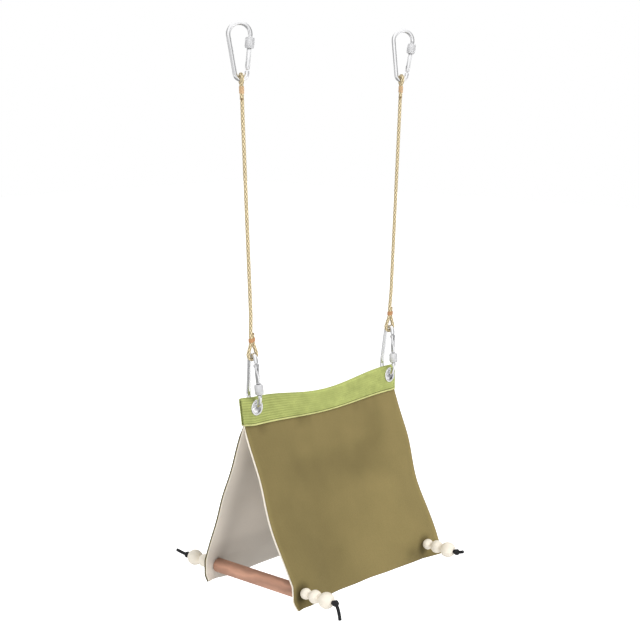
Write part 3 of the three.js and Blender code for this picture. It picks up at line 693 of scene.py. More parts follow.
class BIRDTENT_OT_stage(bpy.types.Operator):
    """Camera, floor, backdrop and lights"""
    bl_idname = "birdtent.stage"
    bl_label = "Stage"
    # Camera fitted to the photograph; its place is measured from the eyelets' level
    picture_width = 640
    focal_pixels = 1382.6
    sensor = 36.0
    station = (-0.9367, -0.8161, 0.2814)
    heading = (0.7405, 0.6498, -0.1715)
    roll = math.radians(0.3266)
    # Name of each light, its place from the tent's middle, its size and its power
    lights = (
        ("key", (0.2, -1.7, 1.1), 1.2, 22.5),
        ("fill", (-1.8, -0.3, 0.3), 1.4, 10.0),
        ("back", (0.9, 1.4, 1.0), 1.2, 7.0),
    )
    tent_middle = -0.05
    floor_drop = 0.25
    floor_half = 6.0
    # What bright metal mirrors: grey at the sides of the room, and a painted reflection: a patch of floor to
    # the left that glows grey for reflections only
    mirrored_grey = 0.36
    mirrored_white = 1.15
    room_sides = (0.55, 0.95)
    card_reach = (1.41, 1.63)
    card_right = (0.05, 0.3)

    def execute(self, context):
        at = layout()
        scene = context.scene
        scene.view_settings.view_transform = "Standard"
        right = self.camera(scene, at)
        self.floor(scene, right)
        self.sky(scene, right)
        middle = Vector((0, 0, at.eyelets + self.tent_middle))
        for name, place, size, power in self.lights:
            light = bpy.data.lights.new(name, "AREA")
            light.shape = "SQUARE"
            light.size = size
            light.energy = power
            lamp = bpy.data.objects.new(name, light)
            lamp.location = middle + Vector(place)
            lamp.rotation_euler = (middle - lamp.location).to_track_quat("-Z", "Y").to_euler()
            lamp.visible_glossy = False
            scene.collection.objects.link(lamp)
        return {"FINISHED"}

    def camera(self, scene, at):
        """Set up the photograph's camera and give the direction to its right"""
        heading = Vector(self.heading).normalized()
        level = heading.cross(Vector((0, 0, 1))).normalized()
        upright = level.cross(heading)
        right = level * math.cos(self.roll) + upright * math.sin(self.roll)
        up = upright * math.cos(self.roll) - level * math.sin(self.roll)
        lens = bpy.data.cameras.new("photo_camera")
        lens.sensor_width = self.sensor
        lens.lens = self.sensor * self.focal_pixels / self.picture_width
        lens.clip_end = 50.0
        camera = bpy.data.objects.new("photo_camera", lens)
        pose = Matrix((right, up, -heading)).transposed().to_4x4()
        pose.translation = Vector(self.station) + Vector((0, 0, at.eyelets))
        camera.matrix_world = pose
        scene.collection.objects.link(camera)
        scene.camera = camera
        return right

    def floor(self, scene, right):
        bm = bmesh.new()
        bmesh.ops.create_grid(bm, x_segments=24, y_segments=24, size=self.floor_half)
        bmesh.ops.translate(bm, verts=bm.verts, vec=(0, 0, CAD_BOX[0].z - self.floor_drop))
        mesh = bpy.data.meshes.new("studio_floor")
        bm.to_mesh(mesh)
        bm.free()
        mesh.materials.append(self.floor_material(right))
        floor = bpy.data.objects.new("studio_floor", mesh)
        scene.collection.objects.link(floor)

    def seen(self, tree):
        """The kinds of ray, and whether a ray comes from the camera, also through something clear"""
        rays = add(tree, "ShaderNodeLightPath").outputs
        return rays, maths(tree, "MAXIMUM", rays["Is Camera Ray"], rays["Is Transmission Ray"])

    def floor_material(self, right):
        material, tree, shader = start_material("pale_floor", 1.0, gloss=0.0)
        shader.inputs["Base Color"].default_value = (0.9, 0.9, 0.9, 1)
        pale = shader.outputs[0]
        rays, seen = self.seen(tree)
        white = add(tree, "ShaderNodeEmission", {"Strength": 0.6})
        brighter = add(tree, "ShaderNodeAddShader", {0: pale, 1: white.outputs[0]})
        shown = blend_shaders(tree, seen, pale, brighter.outputs[0])
        place = coordinates(tree, "Object")
        near = ramp(tree, vectors(tree, "LENGTH", place, {}, "Value"), *self.card_reach, 1.0, 0.0)
        across = vectors(tree, "DOT_PRODUCT", place, {1: right}, "Value")
        left = ramp(tree, across, *self.card_right, 1.0, 0.0)
        # Painted reflection: this patch of floor glows grey, but only glossy rays see it
        card = add(tree, "ShaderNodeEmission", {"Strength": self.mirrored_grey})
        on_card = maths(tree, "MULTIPLY", maths(tree, "MULTIPLY", near, left), rays["Is Glossy Ray"])
        surface = blend_shaders(tree, on_card, shown, card.outputs[0])
        tree.links.new(surface, tree.nodes["Material Output"].inputs["Surface"])
        return material

    def sky(self, scene, right):
        world = bpy.data.worlds.new("studio")
        world.use_nodes = True
        tree = world.node_tree
        soft = tree.nodes["Background"]
        across = vectors(tree, "DOT_PRODUCT", coordinates(tree, "Generated"), {1: right}, "Value")
        aside = maths(tree, "ABSOLUTE", across)
        level = ramp(tree, aside, *self.room_sides, self.mirrored_white, self.mirrored_grey)
        room, white = (add(tree, "ShaderNodeBackground") for _ in range(2))
        for background, strength in ((soft, 0.7), (room, level), (white, 1.0)):
            background.inputs["Color"].default_value = (1, 1, 1, 1)
            feed(tree, background.inputs["Strength"], strength)
        rays, seen = self.seen(tree)
        around = blend_shaders(tree, rays["Is Glossy Ray"], soft.outputs[0], room.outputs[0])
        surface = blend_shaders(tree, seen, around, white.outputs[0])
        tree.links.new(surface, tree.nodes["World Output"].inputs["Surface"])
        scene.world = world


class BIRDTENT_OT_ropes(bpy.types.Operator):
    """Braided ropes with a seized eye at each end"""
    bl_idname = "birdtent.ropes"
    bl_label = "Ropes"
    melted_proud = 0.0001
    melted_length = 0.0008
    melted_dome = 0.35

    def execute(self, context):
        at = layout()
        rope_finish = braid_material("braided_rope", at.finish.rope, strands=4.0, pitch=0.0042, dark=0.34,
                                     depth=0.0006, roughness=0.85)
        threads = {"top": thread_material("pale_seizing_thread", at.finish.top_seizing),
                   "lower": thread_material("seizing_thread", at.finish.lower_seizing)}
        melted = thread_material("melted_rope", at.finish.melted)
        for side, sign in SIDES:
            body = f"rope_{side}"
            place = line_matrix(at, sign)
            path = [place @ point for point in self.route(at)]
            tube = sweep(path, at.line.rope_diameter / 2, sides=14)
            rope = piece(f"braided_{body}", tube, rope_finish, body, (body,))
            for end, eye in at.eyes.items():
                low = eye.level + eye.away * eye.throat - (eye.seizing if eye.away < 0 else 0.0)
                turned = Matrix.Translation((0, 0, low)) @ Matrix.Rotation(eye.yaw + eye.twist, 4, "Z")
                coil = [place @ turned @ point for point in self.wrap(at, eye)]
                wrap = sweep(coil, at.line.thread / 2, sides=6)
                piece(f"seizing_{side}_{end}", wrap, threads[end], body,
                                    (f"{body}_{end}_seizing",))
                cut, before = path[:2] if end == "top" else path[:-3:-1]
                aim = Vector((0, 0, 1)).rotation_difference(cut - before).to_matrix().to_4x4()
                piece(f"melted_tip_{side}_{end}", self.tip(at), melted, body,
                                    pose=Matrix.Translation(cut) @ aim)
            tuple(path[0])
            path_length(path)
        return {"FINISHED"}

    def eye(self, at, eye):
        """Points from the cut end round the wire and on to the rope's axis"""
        radius = at.wire + at.line.eye_play + at.line.rope_diameter / 2
        seized = eye.throat + eye.seizing
        tail = seized + eye.tail
        leg = (at.strand + radius) / 2
        past = 12

        def put(across, along):
            turned = eye.yaw + eye.twist * smooth_step(along, at.wire, eye.throat)
            level = eye.level + eye.away * along
            return Vector((across * math.cos(turned), across * math.sin(turned), level))

        strand = ((at.strand, tail), (at.strand, seized), (at.strand, eye.throat), (leg, eye.throat / 2))
        bow = [put(across, -along) for across, along in arc(radius, (0.0, 0.0), -past, 180 + past, 8)]
        back = [put(-across, along) for across, along in reversed(strand)]
        merge = [put(-at.strand / 2, tail + at.line.ease / 2), put(0, tail + at.line.ease)]
        return [put(*spot) for spot in strand] + bow + back + merge

    def route(self, at):
        spans = 24
        upper = rounded(self.eye(at, at.eyes["top"]), per_span=3)
        lower = rounded(self.eye(at, at.eyes["lower"]), per_span=3)[::-1]
        straight = [upper[-1].lerp(lower[0], i / spans) for i in range(1, spans)]
        return upper + straight + lower

    def wrap(self, at, eye):
        """Thread wound side by side round both strands and pressed a little into them"""
        pressed = 0.45
        steps = 20
        radius = at.line.rope_diameter / 2 + pressed * at.line.thread
        total = steps * round(eye.seizing / at.line.thread)
        points = []
        for i in range(total + 1):
            turned = 2 * math.pi * i / steps
            shift = at.strand if math.cos(turned) >= 0 else -at.strand
            height = at.line.thread / 2 + (eye.seizing - at.line.thread) * i / total
            points.append(Vector((shift + radius * math.cos(turned), radius * math.sin(turned), height)))
        return points

    def tip(self, at):
        """Cap of melted rope over a cut end"""
        radius = at.line.rope_diameter / 2 + self.melted_proud
        foot = -self.melted_length
        bm = turn(arc(radius, (0.0, 0.0), 90, 30, 5) + [(radius, foot), (0.0, foot)], "Z", 16, closed=False)
        for vert in bm.verts:
            if vert.co.z > 0:
                vert.co.z *= self.melted_dome
        return bm


class BIRDTENT_OT_perch_cords(bpy.types.Operator):
    """Elastic cords through the perches and beads, knotted at both ends"""
    bl_idname = "birdtent.perch_cords"
    bl_label = "Perch cords"
    # Cut ends at the front and at the back, in millimetres from the middle of the knot
    tails = {
        "left": (((0, -1.2, -1.6), (0.3, -2.6, -5), (0.6, -3.6, -9.4), (0.9, -4.2, -14)),
                 ((0, 4, 0.2), (0.2, 9, 0.6), (0.5, 14.5, 1.2))),
        "right": (((0, -4, 0.9), (0.2, -7.2, 2.0)), ((0, 4, 0.9), (-0.2, 7.2, 2.0))),
    }

    def execute(self, context):
        at = layout()
        finish = braid_material("braided_elastic", at.finish.cord, strands=6.0, pitch=0.0016, dark=0.5,
                                depth=0.0003, roughness=0.7)
        for side, x in at.perches:
            spots = [Vector((x, sign * at.knot, at.eyelets + at.perch_level)) for _, sign in FACES]
            ends = []
            for (_, sign), spot, tail in zip(FACES, spots, self.tails[side]):
                mouth = spot - Vector((0, sign * at.perch.knot / 2, 0))
                cut = [spot + Vector(point) * MILLIMETRE for point in tail]
                ends.append(rounded([mouth, spot, *cut], per_span=6))
            path = ends[0][::-1] + ends[1]
            tube = sweep(path, at.perch.cord / 2, sides=12)
            cord = piece(f"elastic_cord_{side}", tube, finish, "tent", (f"perch_cord_{side}",))
            knots = [piece(f"cord_knot_{face}_{side}", self.knot(at), finish, "tent",
                           pose=Matrix.Translation(spot)) for (face, _), spot in zip(FACES, spots)]
            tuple(path[0])
            path_length(path)
        return {"FINISHED"}

    def knot(self, at):
        """Drawn overhand knot: a ball on which three turns of the cord stand out"""
        turns = 3
        slant = 2.2
        groove = 0.9
        radius = at.perch.knot / 2
        bm = bmesh.new()
        uv = bm.loops.layers.uv.verify()
        bmesh.ops.create_uvsphere(bm, u_segments=36, v_segments=24, radius=radius,
                                  matrix=Matrix.Rotation(math.pi / 2, 4, "X"), calc_uvs=True)
        for face in bm.faces:
            for loop in face.loops:
                loop[uv].uv.y *= math.pi * radius
        for vert in bm.verts:
            way = vert.co / radius
            turn_height = abs(math.sin(turns / 2 * math.atan2(way.z, way.x) + slant * way.y))
            vert.co = way * radius * mix(groove, 1.0, turn_height)
        return bm


class BIRDTENT_OT_carabiners(bpy.types.Operator):
    """Bent-wire bodies, gates, rivets, springs and lock sleeves"""
    bl_idname = "birdtent.carabiners"
    bl_label = "Carabiners"
    flute_depth = 0.025

    def execute(self, context):
        at = layout()
        wire = metal_material("zinc_wire", at.finish.metal, 0.2)
        turned = metal_material("turned_zinc", at.finish.metal, 0.7)
        for side, sign in SIDES:
            for place in ("top", "lower"):
                pose = hook_matrix(at, place, sign)
                hinged = pose @ gate_matrix(at)
                owner = "hanger" if place == "top" else f"lower_carabiner_{side}"
                gate = f"{place}_gate_{side}"
                sleeve = f"{place}_lock_sleeve_{side}"
                for name, bm, stand, finish, body, node in (
                        ("wire_pear", self.body(at), pose, wire, owner, f"{place}_carabiner_{side}"),
                        ("gate_rod", self.gate(gate), None, wire, gate, gate),
                        ("rivet", self.rivet(at), hinged, turned, owner, f"{place}_gate_rivet_{side}"),
                        ("sleeve", self.sleeve(at), hinged, turned, sleeve, sleeve)):
                    piece(f"{place}_{name}_{side}", bm, finish, body, (node,), sharp=50, pose=stand)
                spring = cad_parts[f"{place}_gate_spring_{side}"]
                spring.data.materials.clear()
                spring.data.materials.append(turned)
        return {"FINISHED"}

    def body(self, at):
        """Wire drawn from the hinge round the narrow bow, up the side and round the wide bow to the nose"""
        bm = bmesh.new()
        shoulder = at.wire + at.hook.shoulder_gap
        start = at.neck_end + at.along * (at.hook.pivot - shoulder)
        ring = circle(bm, at.wire, 18, Matrix.Translation(start) @ Matrix.Rotation(at.tilt, 4, "Y"))
        edges = ring_edges(ring)
        bmesh.ops.contextual_create(bm, geom=edges)
        edges = self.straight(bm, edges, at.neck_end - start)
        edges = self.bend(bm, edges, at.neck_centre, math.pi - 2 * at.tilt, 16)
        side = Vector((-at.wide * math.cos(at.tilt), 0, at.wide_centre - at.wide * math.sin(at.tilt)))
        foot = Vector((-at.neck_end.x, 0, at.neck_end.z))
        edges = self.straight(bm, edges, side - foot)
        short = (at.hook.lap - at.hook.nose) / at.wide
        edges = self.bend(bm, edges, at.wide_centre, math.pi + 2 * at.tilt - short, 28)
        bmesh.ops.contextual_create(bm, geom=edges)
        facing_out(bm)
        self.ends(bm, at)
        return bm

    def straight(self, bm, edges, move):
        verts = only(bmesh.types.BMVert, bmesh.ops.extrude_edge_only(bm, edges=edges)["geom"])
        bmesh.ops.translate(bm, verts=verts, vec=move)
        return ring_edges(verts)

    def bend(self, bm, edges, level, turned, steps):
        made = bmesh.ops.spin(bm, geom=edges, cent=(0, 0, level), axis=(0, 1, 0), angle=turned, steps=steps,
                              use_duplicate=False)
        return only(bmesh.types.BMEdge, made["geom_last"])

    def ends(self, bm, at):
        """Hinge tongue in the gate's fork, and the outer half of the nose that laps over the gate"""
        hook = at.hook
        low = -at.wire - hook.shoulder_gap - at.wire / 2
        high = hook.tongue_reach
        tongue = bmesh.ops.create_cube(bm, size=1.0)["verts"]
        bmesh.ops.scale(bm, verts=tongue, vec=(hook.tongue_width, hook.tongue_thickness, high - low))
        bmesh.ops.translate(bm, verts=tongue, vec=(0, 0, (low + high) / 2))
        nose = at.gate + hook.gate_gap
        half = [bm.verts.new((x, y, nose)) for x, y in arc(at.wire, (0, 0), -90, 90, 10)]
        grown = bmesh.ops.extrude_face_region(bm, geom=[bm.faces.new(half)])["geom"]
        lifted = only(bmesh.types.BMVert, grown)
        bmesh.ops.translate(bm, verts=lifted, vec=(0, 0, hook.lap + at.wire / 4))
        faces = {face for vert in half + lifted for face in vert.link_faces}
        bmesh.ops.recalc_face_normals(bm, faces=list(faces))
        bmesh.ops.transform(bm, matrix=gate_matrix(at), verts=tongue + half + lifted)

    def gate(self, node):
        """The gate as the CAD has it, with its fork, bore and lap"""
        bm = bmesh.new()
        bm.from_mesh(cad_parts[node].data)
        bmesh.ops.remove_doubles(bm, verts=bm.verts, dist=1e-6)
        return bm

    def rivet(self, at):
        shank = at.wire + GAP
        rise = at.hook.rivet_height
        round_head = ((at.hook.rivet_head / 2) ** 2 + rise ** 2) / (2 * rise)
        centre = shank + rise - round_head
        rim = math.degrees(math.asin((shank - centre) / round_head))
        head = arc(round_head, (0.0, centre), 90, rim, 5)
        return turn(mirrored(head + [(at.hook.rivet / 2, shank)]), "Y", 20, closed=False)

    def sleeve(self, at):
        """Fluted nut with a plain, chamfered collar at each end"""
        chamfer = 0.0003
        bevel = 0.0005
        collar = 0.0012
        rise = 0.0004
        inner = at.wire + at.hook.sleeve_play
        outer = at.hook.sleeve_diameter / 2
        long = at.hook.sleeve_length
        plain = outer - chamfer
        end = [(inner, chamfer), (inner + chamfer, 0), (plain - bevel, 0), (plain, chamfer), (plain, collar),
               (outer, collar + rise)]
        bm = turn(end + [(radius, long - height) for radius, height in reversed(end)], "Z",
                  at.hook.sleeve_flutes * 4)
        for vert in bm.verts:
            if vert.co.xy.length > outer - chamfer / 3:
                spot = math.atan2(vert.co.y, vert.co.x) * at.hook.sleeve_flutes
                vert.co.xy *= 1 - self.flute_depth * (0.5 - 0.5 * math.cos(spot))
        bmesh.ops.translate(bm, verts=bm.verts, vec=(0, 0, at.gate - at.hook.sleeve_setback - long))
        return bm


# Shape and tone of the cloth

# Ends of each hem, its half-widths at the corners, below the perches and in the middle, the share of the
# perch fade that holds towards the open ends, the panel's hollow, the hem's sag, the lift of its left corner,
# and how far the side edges curl inwards above and below
HEMS = {
    "front": SimpleNamespace(
        left=-0.0977, right=0.1095, corner=0.057, perch=(0.0535, 0.0498), middle=0.043, grip=0.35,
        hollow=0.003, sag=0.003, lift=0.0015, curl_left=(-0.0026, 0.0022), curl_right=(-0.0028, 0.0034)),
    "back": SimpleNamespace(
        left=-0.103, right=0.1095, corner=0.0475, perch=(0.0525, 0.0525), middle=0.0525, grip=1.0,
        hollow=-0.003, sag=0.0, lift=0.0026, curl_left=(0.003, 0.0025), curl_right=(0.0, 0.003)),
}

# Middles of the upper and lower curl of a side edge and their spread, as shares of the drop
CURL_DOWN = (0.28, 0.58)
CURL_SPREAD = 0.15

# Painted shade of soft creases on the front canvas, and painted shadows below the beads near the hem:
# two ends as (place along the ridge, share of the drop), width, depth
CREASE_SHADES = (
    ((-0.05, 0.26), (-0.005, 0.3), 0.013, 0.09),
    ((-0.005, 0.3), (0.03, 0.36), 0.011, 0.075),
    ((0.03, 0.37), (0.066, 0.12), 0.014, 0.09),
    ((-0.06, 0.72), (-0.02, 0.82), 0.014, 0.06),
    ((-0.09, 0.95), (-0.074, 0.97), 0.006, 0.35),
    ((0.07, 0.94), (0.1, 0.98), 0.008, 0.4),
)


def bell(value, middle, spread):
    return math.exp(-((value - middle) / spread) ** 2)


def wander(*place):
    return noise.noise(Vector(place))


def sag_at(at, x, height=0.0):
    """Change of level at a place along the ridge, height measured from the band's lower edge"""
    across = min(1.0, abs(x) / at.eyelet)
    sunk = at.cloth.sag + at.cloth.slump * min(1.0, max(0.0, height) / at.cloth.band_height)
    return -sunk * math.cos(math.pi / 2 * across) ** 2


def perch_hold(at, x, face):
    """How firmly a perch holds the cloth; towards the open ends the hold may fade sooner"""
    away = min(abs(x - perch) for _, perch in at.perches)
    inside = at.perch.left < x < at.perch.right
    return 1 - smooth_step(away, at.patch_half, at.cloth.fade * (1.0 if inside else HEMS[face].grip))


def hem_out(at, x, face):
    """Half-width of the tent at the hem"""
    hem = HEMS[face]
    across = (x - at.perch.left) / (at.perch.right - at.perch.left)
    if 0 <= across <= 1:
        return mix(mix(*hem.perch, across), hem.middle, math.sin(math.pi * across) ** 1.2)
    if across < 0:
        reach = (at.perch.left - x) / (at.perch.left - hem.left)
    else:
        reach = (x - at.perch.right) / (hem.right - at.perch.right)
    return mix(hem.perch[int(across > 1)], hem.corner, min(1.0, reach))


def panel_out(at, x, down, face):
    """Half-width of the tent at a share of the drop, held flat at the perches and loose between them"""
    edge = hem_out(at, x, face)
    hold = perch_hold(at, x, face)
    held = at.perch_panel
    if down < at.patch_top:
        held = mix(at.lining_face, at.perch_panel, down / at.patch_top)
    if down > at.patch_end:
        held = mix(at.perch_panel, edge, ((down - at.patch_end) / (1 - at.patch_end)) ** 1.6)
    shape = mix(mix(at.lining_face, edge, down), held, hold)
    shape -= HEMS[face].hollow * math.sin(math.pi * min(1.0, down / at.patch_top))
    return shape + fold_at(at, x, down, face) * (1 - hold)


def fold_at(at, x, down, face):
    """Soft folds that fall from the band and spread towards the hem"""
    slow_sheet, fine_sheet = (3.0, 5.0) if face == "front" else (9.0, 2.0)
    slow = wander(x * 16, down * 1.1, slow_sheet)
    fine = wander(x * 38 + down, down * 2.6, fine_sheet)
    return at.cloth.fold * (2.2 * slow + 0.9 * fine) * smooth_step(down, 0.03, 0.45)


# Depth of the painted crease shade at a place; it darkens the colour only
def crease_shade_at(at, x, down):
    deepest = 0.0
    spot = Vector((x, down * at.cloth.drop))
    rough = 0.8 + 0.5 * wander(x * 45, down * 8, 6.0)
    for (x0, down0), (x1, down1), width, depth in CREASE_SHADES:
        start = Vector((x0, down0 * at.cloth.drop))
        run = Vector((x1, down1 * at.cloth.drop)) - start
        along = min(1.0, max(0.0, (spot - start).dot(run) / run.length_squared))
        away = (spot - start - run * along).length
        deepest = max(deepest, depth * rough * bell(away, 0.0, width))
    return deepest


def canvas_tone(at, face, x, down, edge):
    """Painted light and shade: the right side, where the panel turns to the light, is paler, and so are the
    top and the edges; painted shade in creases and below the beads, painted shadow under the band with uneven
    puckers, and painted shade round the cord holes
    """
    # Painted shade along the back canvas's side edges, where its proud edge lies in shade
    if face == "back":
        return -0.45 * (1 - smooth_step(edge, 0.001, 0.004))
    # Painted light: the right side, where the panel turns to the light, is paler
    swell = smooth_step(x, -0.03, 0.03) * smooth_step(down, 0.36, 0.52)
    right = max(swell, smooth_step(x, 0.055, 0.085))
    top = (1 - smooth_step(down, 0.18, 0.28)) * smooth_step(x, -0.08, -0.04)
    rim = 1 - smooth_step(edge, 0.0015, 0.005)
    painted_light = max(0.2 * right, 0.1 * top) + 0.15 * rim
    # Painted shadow below the band's lower edge, uneven like puckers
    pucker_shadow = max(0.0, wander(x * 80, 0.5, 1.0)) * (1 - smooth_step(down, 0.015, 0.085))
    shadow = 1 - smooth_step(down, 0.0, 0.015)
    level = (down - at.perch_down) * at.cloth.drop
    away = min(math.hypot(x - perch, level) for _, perch in at.perches)
    # Painted shade round the cord holes
    hole_shade = 1 - smooth_step(away, 0.005, 0.012)
    return painted_light - crease_shade_at(at, x, down) - 0.3 * pucker_shadow - 0.25 * shadow - 0.4 * hole_shade


def lining_tone(at, face, x, down, edge):
    """Painted light and shade: paler at the top, towards the open ends and where light falls in; painted
    shade above the hem
    """
    # Painted light at the open ends, stronger towards the hem
    rim = (1 - smooth_step(edge, 0.0, 0.022)) * (1 + 0.7 * smooth_step(down, 0.8, 1.0))
    lit = bell(x, -0.052, 0.022) * bell(down, 0.62, 0.13)
    return 0.15 * (1 - down) - 0.12 * smooth_step(down, 0.72, 0.8) + 0.4 * rim + 0.14 * lit


def cloth_sheet(at, name, cells, place, tone, size, materials, node, thickness):
    """Shape a grid with place(u, v), keep tone(u, v), its painted light and shade, with it, open it at the
    eyelets, give it thickness inwards and make it a piece; a second material colours the cut edges"""
    bm = bmesh.new()
    bmesh.ops.create_grid(bm, x_segments=cells[0], y_segments=cells[1], size=0.5)
    uv = bm.loops.layers.uv.verify()
    kept = bm.verts.layers.float.new("tone")
    grid = {vert: (vert.co.x + 0.5, vert.co.y + 0.5) for vert in bm.verts}
    for face in bm.faces:
        for loop in face.loops:
            u, v = grid[loop.vert]
            loop[uv].uv = (u * size[0], v * size[1])
    for vert, (u, v) in grid.items():
        vert.co = place(u, v)
        vert[kept] = tone(u, v)
    clear = 0.45 * at.cloth.eyelet_flange
    for _, sign in SIDES:
        spot = Vector((sign * at.eyelet, 0, at.eyelets))
        within = [face for face in bm.faces if (face.calc_center_median() - spot).xz.length < clear]
        bmesh.ops.delete(bm, geom=within, context="FACES")
    made = piece(name, bm, materials[0], "tent", (node,), sharp=60)
    wall = made.modifiers.new("thickness", "SOLIDIFY")
    wall.thickness = thickness
    wall.offset = -1.0
    for extra in materials[1:]:
        made.data.materials.append(extra)
        wall.material_offset_rim = 1
    return made


class BIRDTENT_OT_panels(bpy.types.Operator):
    """Canvas panels and their lining"""
    bl_idname = "birdtent.panels"
    bl_label = "Panels"

    def execute(self, context):
        at = layout()
        canvas = cloth_material(
            "olive_canvas", at.finish.canvas, pitch=0.0009, depth=0.0003, contrast=0.3, patchy=0.3)
        lining = cloth_material(
            "cream_lining", at.finish.lining, pitch=0.0007, depth=0.0002, contrast=0.12, patchy=0.12)
        # The lining's cut edges get a lighter copy of the lining colour, a painted highlight
        edge = thread_material("lining_cut_edge", at.finish.lit_cut_edge)
        for face, sign in FACES:
            inset = at.canvas_face - at.lining_face
            canvas_edge, lining_edge = (0.0, at.cloth.edge) if face == "front" else (at.cloth.edge, 0.0)
            self.panel(at, face, sign, "canvas", (canvas,), canvas_tone, inset, at.cloth.canvas, canvas_edge)
            self.panel(at, face, sign, "lining", (lining, edge), lining_tone, 0.0, inset, lining_edge)
        return {"FINISHED"}

    def panel(self, at, face, sign, name, materials, toning, inset, thickness, proud):
        cloth = at.cloth
        hem = HEMS[face]
        tucked = cloth.band_top - at.band_outer - at.band_bottom
        tall = tucked + cloth.drop
        wide = hem.right - hem.left
        curl_from = 0.72
        lift_from = 0.85
        hang_from = 0.75
        proud_from = 0.9

        def spot(u, v):
            """Share of the way right, depth below the band, share of the drop, place along the ridge"""
            share = 1 - u if sign < 0 else u
            below = v * tall - tucked
            down = max(0.0, below / cloth.drop)
            ridge = mix(cloth.ridge_left + cloth.inset_left, cloth.ridge_right - cloth.inset_right, share)
            return share, below, down, mix(ridge, mix(hem.left, hem.right, share), down)

        def place(u, v):
            share, below, down, x = spot(u, v)
            out = panel_out(at, x, down, face) + inset + thickness
            for curls, near in ((hem.curl_left, 1 - share), (hem.curl_right, share)):
                curl = sum(most * bell(down, middle, CURL_SPREAD) for most, middle in zip(curls, CURL_DOWN))
                out -= curl * smooth_step(near, curl_from, 1)
            z = at.band_bottom - below + sag_at(at, x, -below) * (1 - down)
            lift = hem.lift * smooth_step(1 - share, lift_from, 1)
            hang = hem.sag * math.sin(math.pi * share) ** 0.6 - lift
            z -= hang * smooth_step(down, hang_from, 1)
            aside = 2 * share - 1
            x += proud * aside * smooth_step(abs(aside), proud_from, 1) * min(1.0, down * 20)
            return Vector((x, sign * out, at.eyelets + z))

        def tone(u, v):
            share, _, down, x = spot(u, v)
            return toning(at, face, x, down, min(share, 1 - share) * wide)

        made = cloth_sheet(at, f"{name}_panel_{face}", (140, 120), place, tone, (wide, tall), materials,
                           f"{name}_{face}", thickness)


class BIRDTENT_OT_band(bpy.types.Operator):
    """Ribbed webbing folded over the ridge"""
    bl_idname = "birdtent.band"
    bl_label = "Ridge band"

    def execute(self, context):
        at = layout()
        cloth = at.cloth
        long = cloth.ridge_right - cloth.ridge_left
        upright = cloth.band_height - at.band_outer
        fold = math.pi * at.band_outer
        flat = 2 * upright + fold
        pitch = (cloth.band_height - cloth.band_hem) / cloth.band_ribs
        bottom = at.eyelets + at.band_bottom

        def place(u, v):
            x = mix(cloth.ridge_left, cloth.ridge_right, u)
            run = v * flat
            edge = min(run, flat - run)
            if edge < cloth.band_hem:
                proud = cloth.band_roll * math.sin(math.pi * edge / cloth.band_hem) ** 0.7
            else:
                rib = cloth.band_rib * (1 - 0.7 * smooth_step(u, 0.15, 0.45))
                proud = rib * abs(math.sin(math.pi * (edge - cloth.band_hem) / pitch)) ** 0.8
            tip = min(x - cloth.ridge_left, cloth.ridge_right - x)
            pressed = 1 - 0.45 * (1 - smooth_step(tip, 0.0, cloth.pinch))
            outer = at.band_outer + proud
            turned = math.pi * min(1.0, max(0.0, (run - upright) / fold))
            height = min(edge, upright) + outer * math.sin(turned)
            perk = cloth.perk * smooth_step(-x, at.eyelet, -cloth.ridge_left)
            z = bottom + height + sag_at(at, x, height) + perk
            slant = mix(cloth.slant_low, cloth.slant_high, min(1.0, height / cloth.band_height))
            x += slant * (1 - smooth_step(x - cloth.ridge_left, 0.0, 2 * cloth.pinch))
            return Vector((x, -outer * pressed * math.cos(turned), z))

        def tone(u, v):
            # Painted highlight along the fold's crest, over random tone
            crest_highlight = smooth_step(u, 0.2, 0.5) * (1 - smooth_step(abs(v - 0.5), 0.03, 0.09))
            return 0.14 * wander(u * 16 + v * 4, v * 5, 4.0) + 0.1 * wander(u * 40, v * 9, 8.0) + 0.2 * crest_highlight

        finish = band_material(at.finish.band, at.finish.band_roll, cloth, flat)
        made = cloth_sheet(at, "webbing_band", (200, 180), place, tone, (long, flat), (finish,),
                           "ridge_band", cloth.band)
        return {"FINISHED"}


class BIRDTENT_OT_eyelets(bpy.types.Operator):
    """Eyelets through the band, with their washers"""
    bl_idname = "birdtent.eyelets"
    bl_label = "Eyelets"
    wall = 0.0005
    washer = 0.0008
    washer_bevel = 0.0004
    lip_reach = 0.0063
    lip_round = 0.0007
    lip_height = 0.0005
    chamfer = 0.0003

    def execute(self, context):
        at = layout()
        finish = metal_material("eyelet_nickel", at.finish.metal, 0.22)
        bore = at.cloth.eyelet_bore / 2
        barrel = bore + self.wall
        flange = at.cloth.eyelet_flange / 2
        crown = at.cloth.eyelet_crown
        under = at.band_outer + GAP
        back = under + self.washer
        lip = back + GAP
        profile = arc(crown * 0.6, (bore + crown * 0.6, -under - crown * 0.4), 180, 270, 5)
        profile += arc(crown, (flange - crown, -under), 270, 360, 6)
        profile += [(barrel, -under), (barrel, lip)]
        profile += arc(self.lip_round, (self.lip_reach - self.lip_round, lip), 0, 90, 4)
        profile += [(bore + self.chamfer, lip + self.lip_height),
                    (bore, lip + self.lip_height - self.chamfer)]
        ring = [(barrel + GAP, under), (flange, under), (flange, back - self.washer_bevel),
                (flange - self.washer_bevel, back), (barrel + GAP, back)]
        for side, sign in SIDES:
            spot = Matrix.Translation((sign * at.eyelet, 0, at.eyelets))
            for name, shape, node in (
                    ("eyelet_ring", profile, "eyelet"), ("eyelet_back", ring, "eyelet_washer")):
                piece(f"{name}_{side}", turn(shape, "Y", 48), finish, "tent", (f"{node}_{side}",),
                      pose=spot)
        return {"FINISHED"}


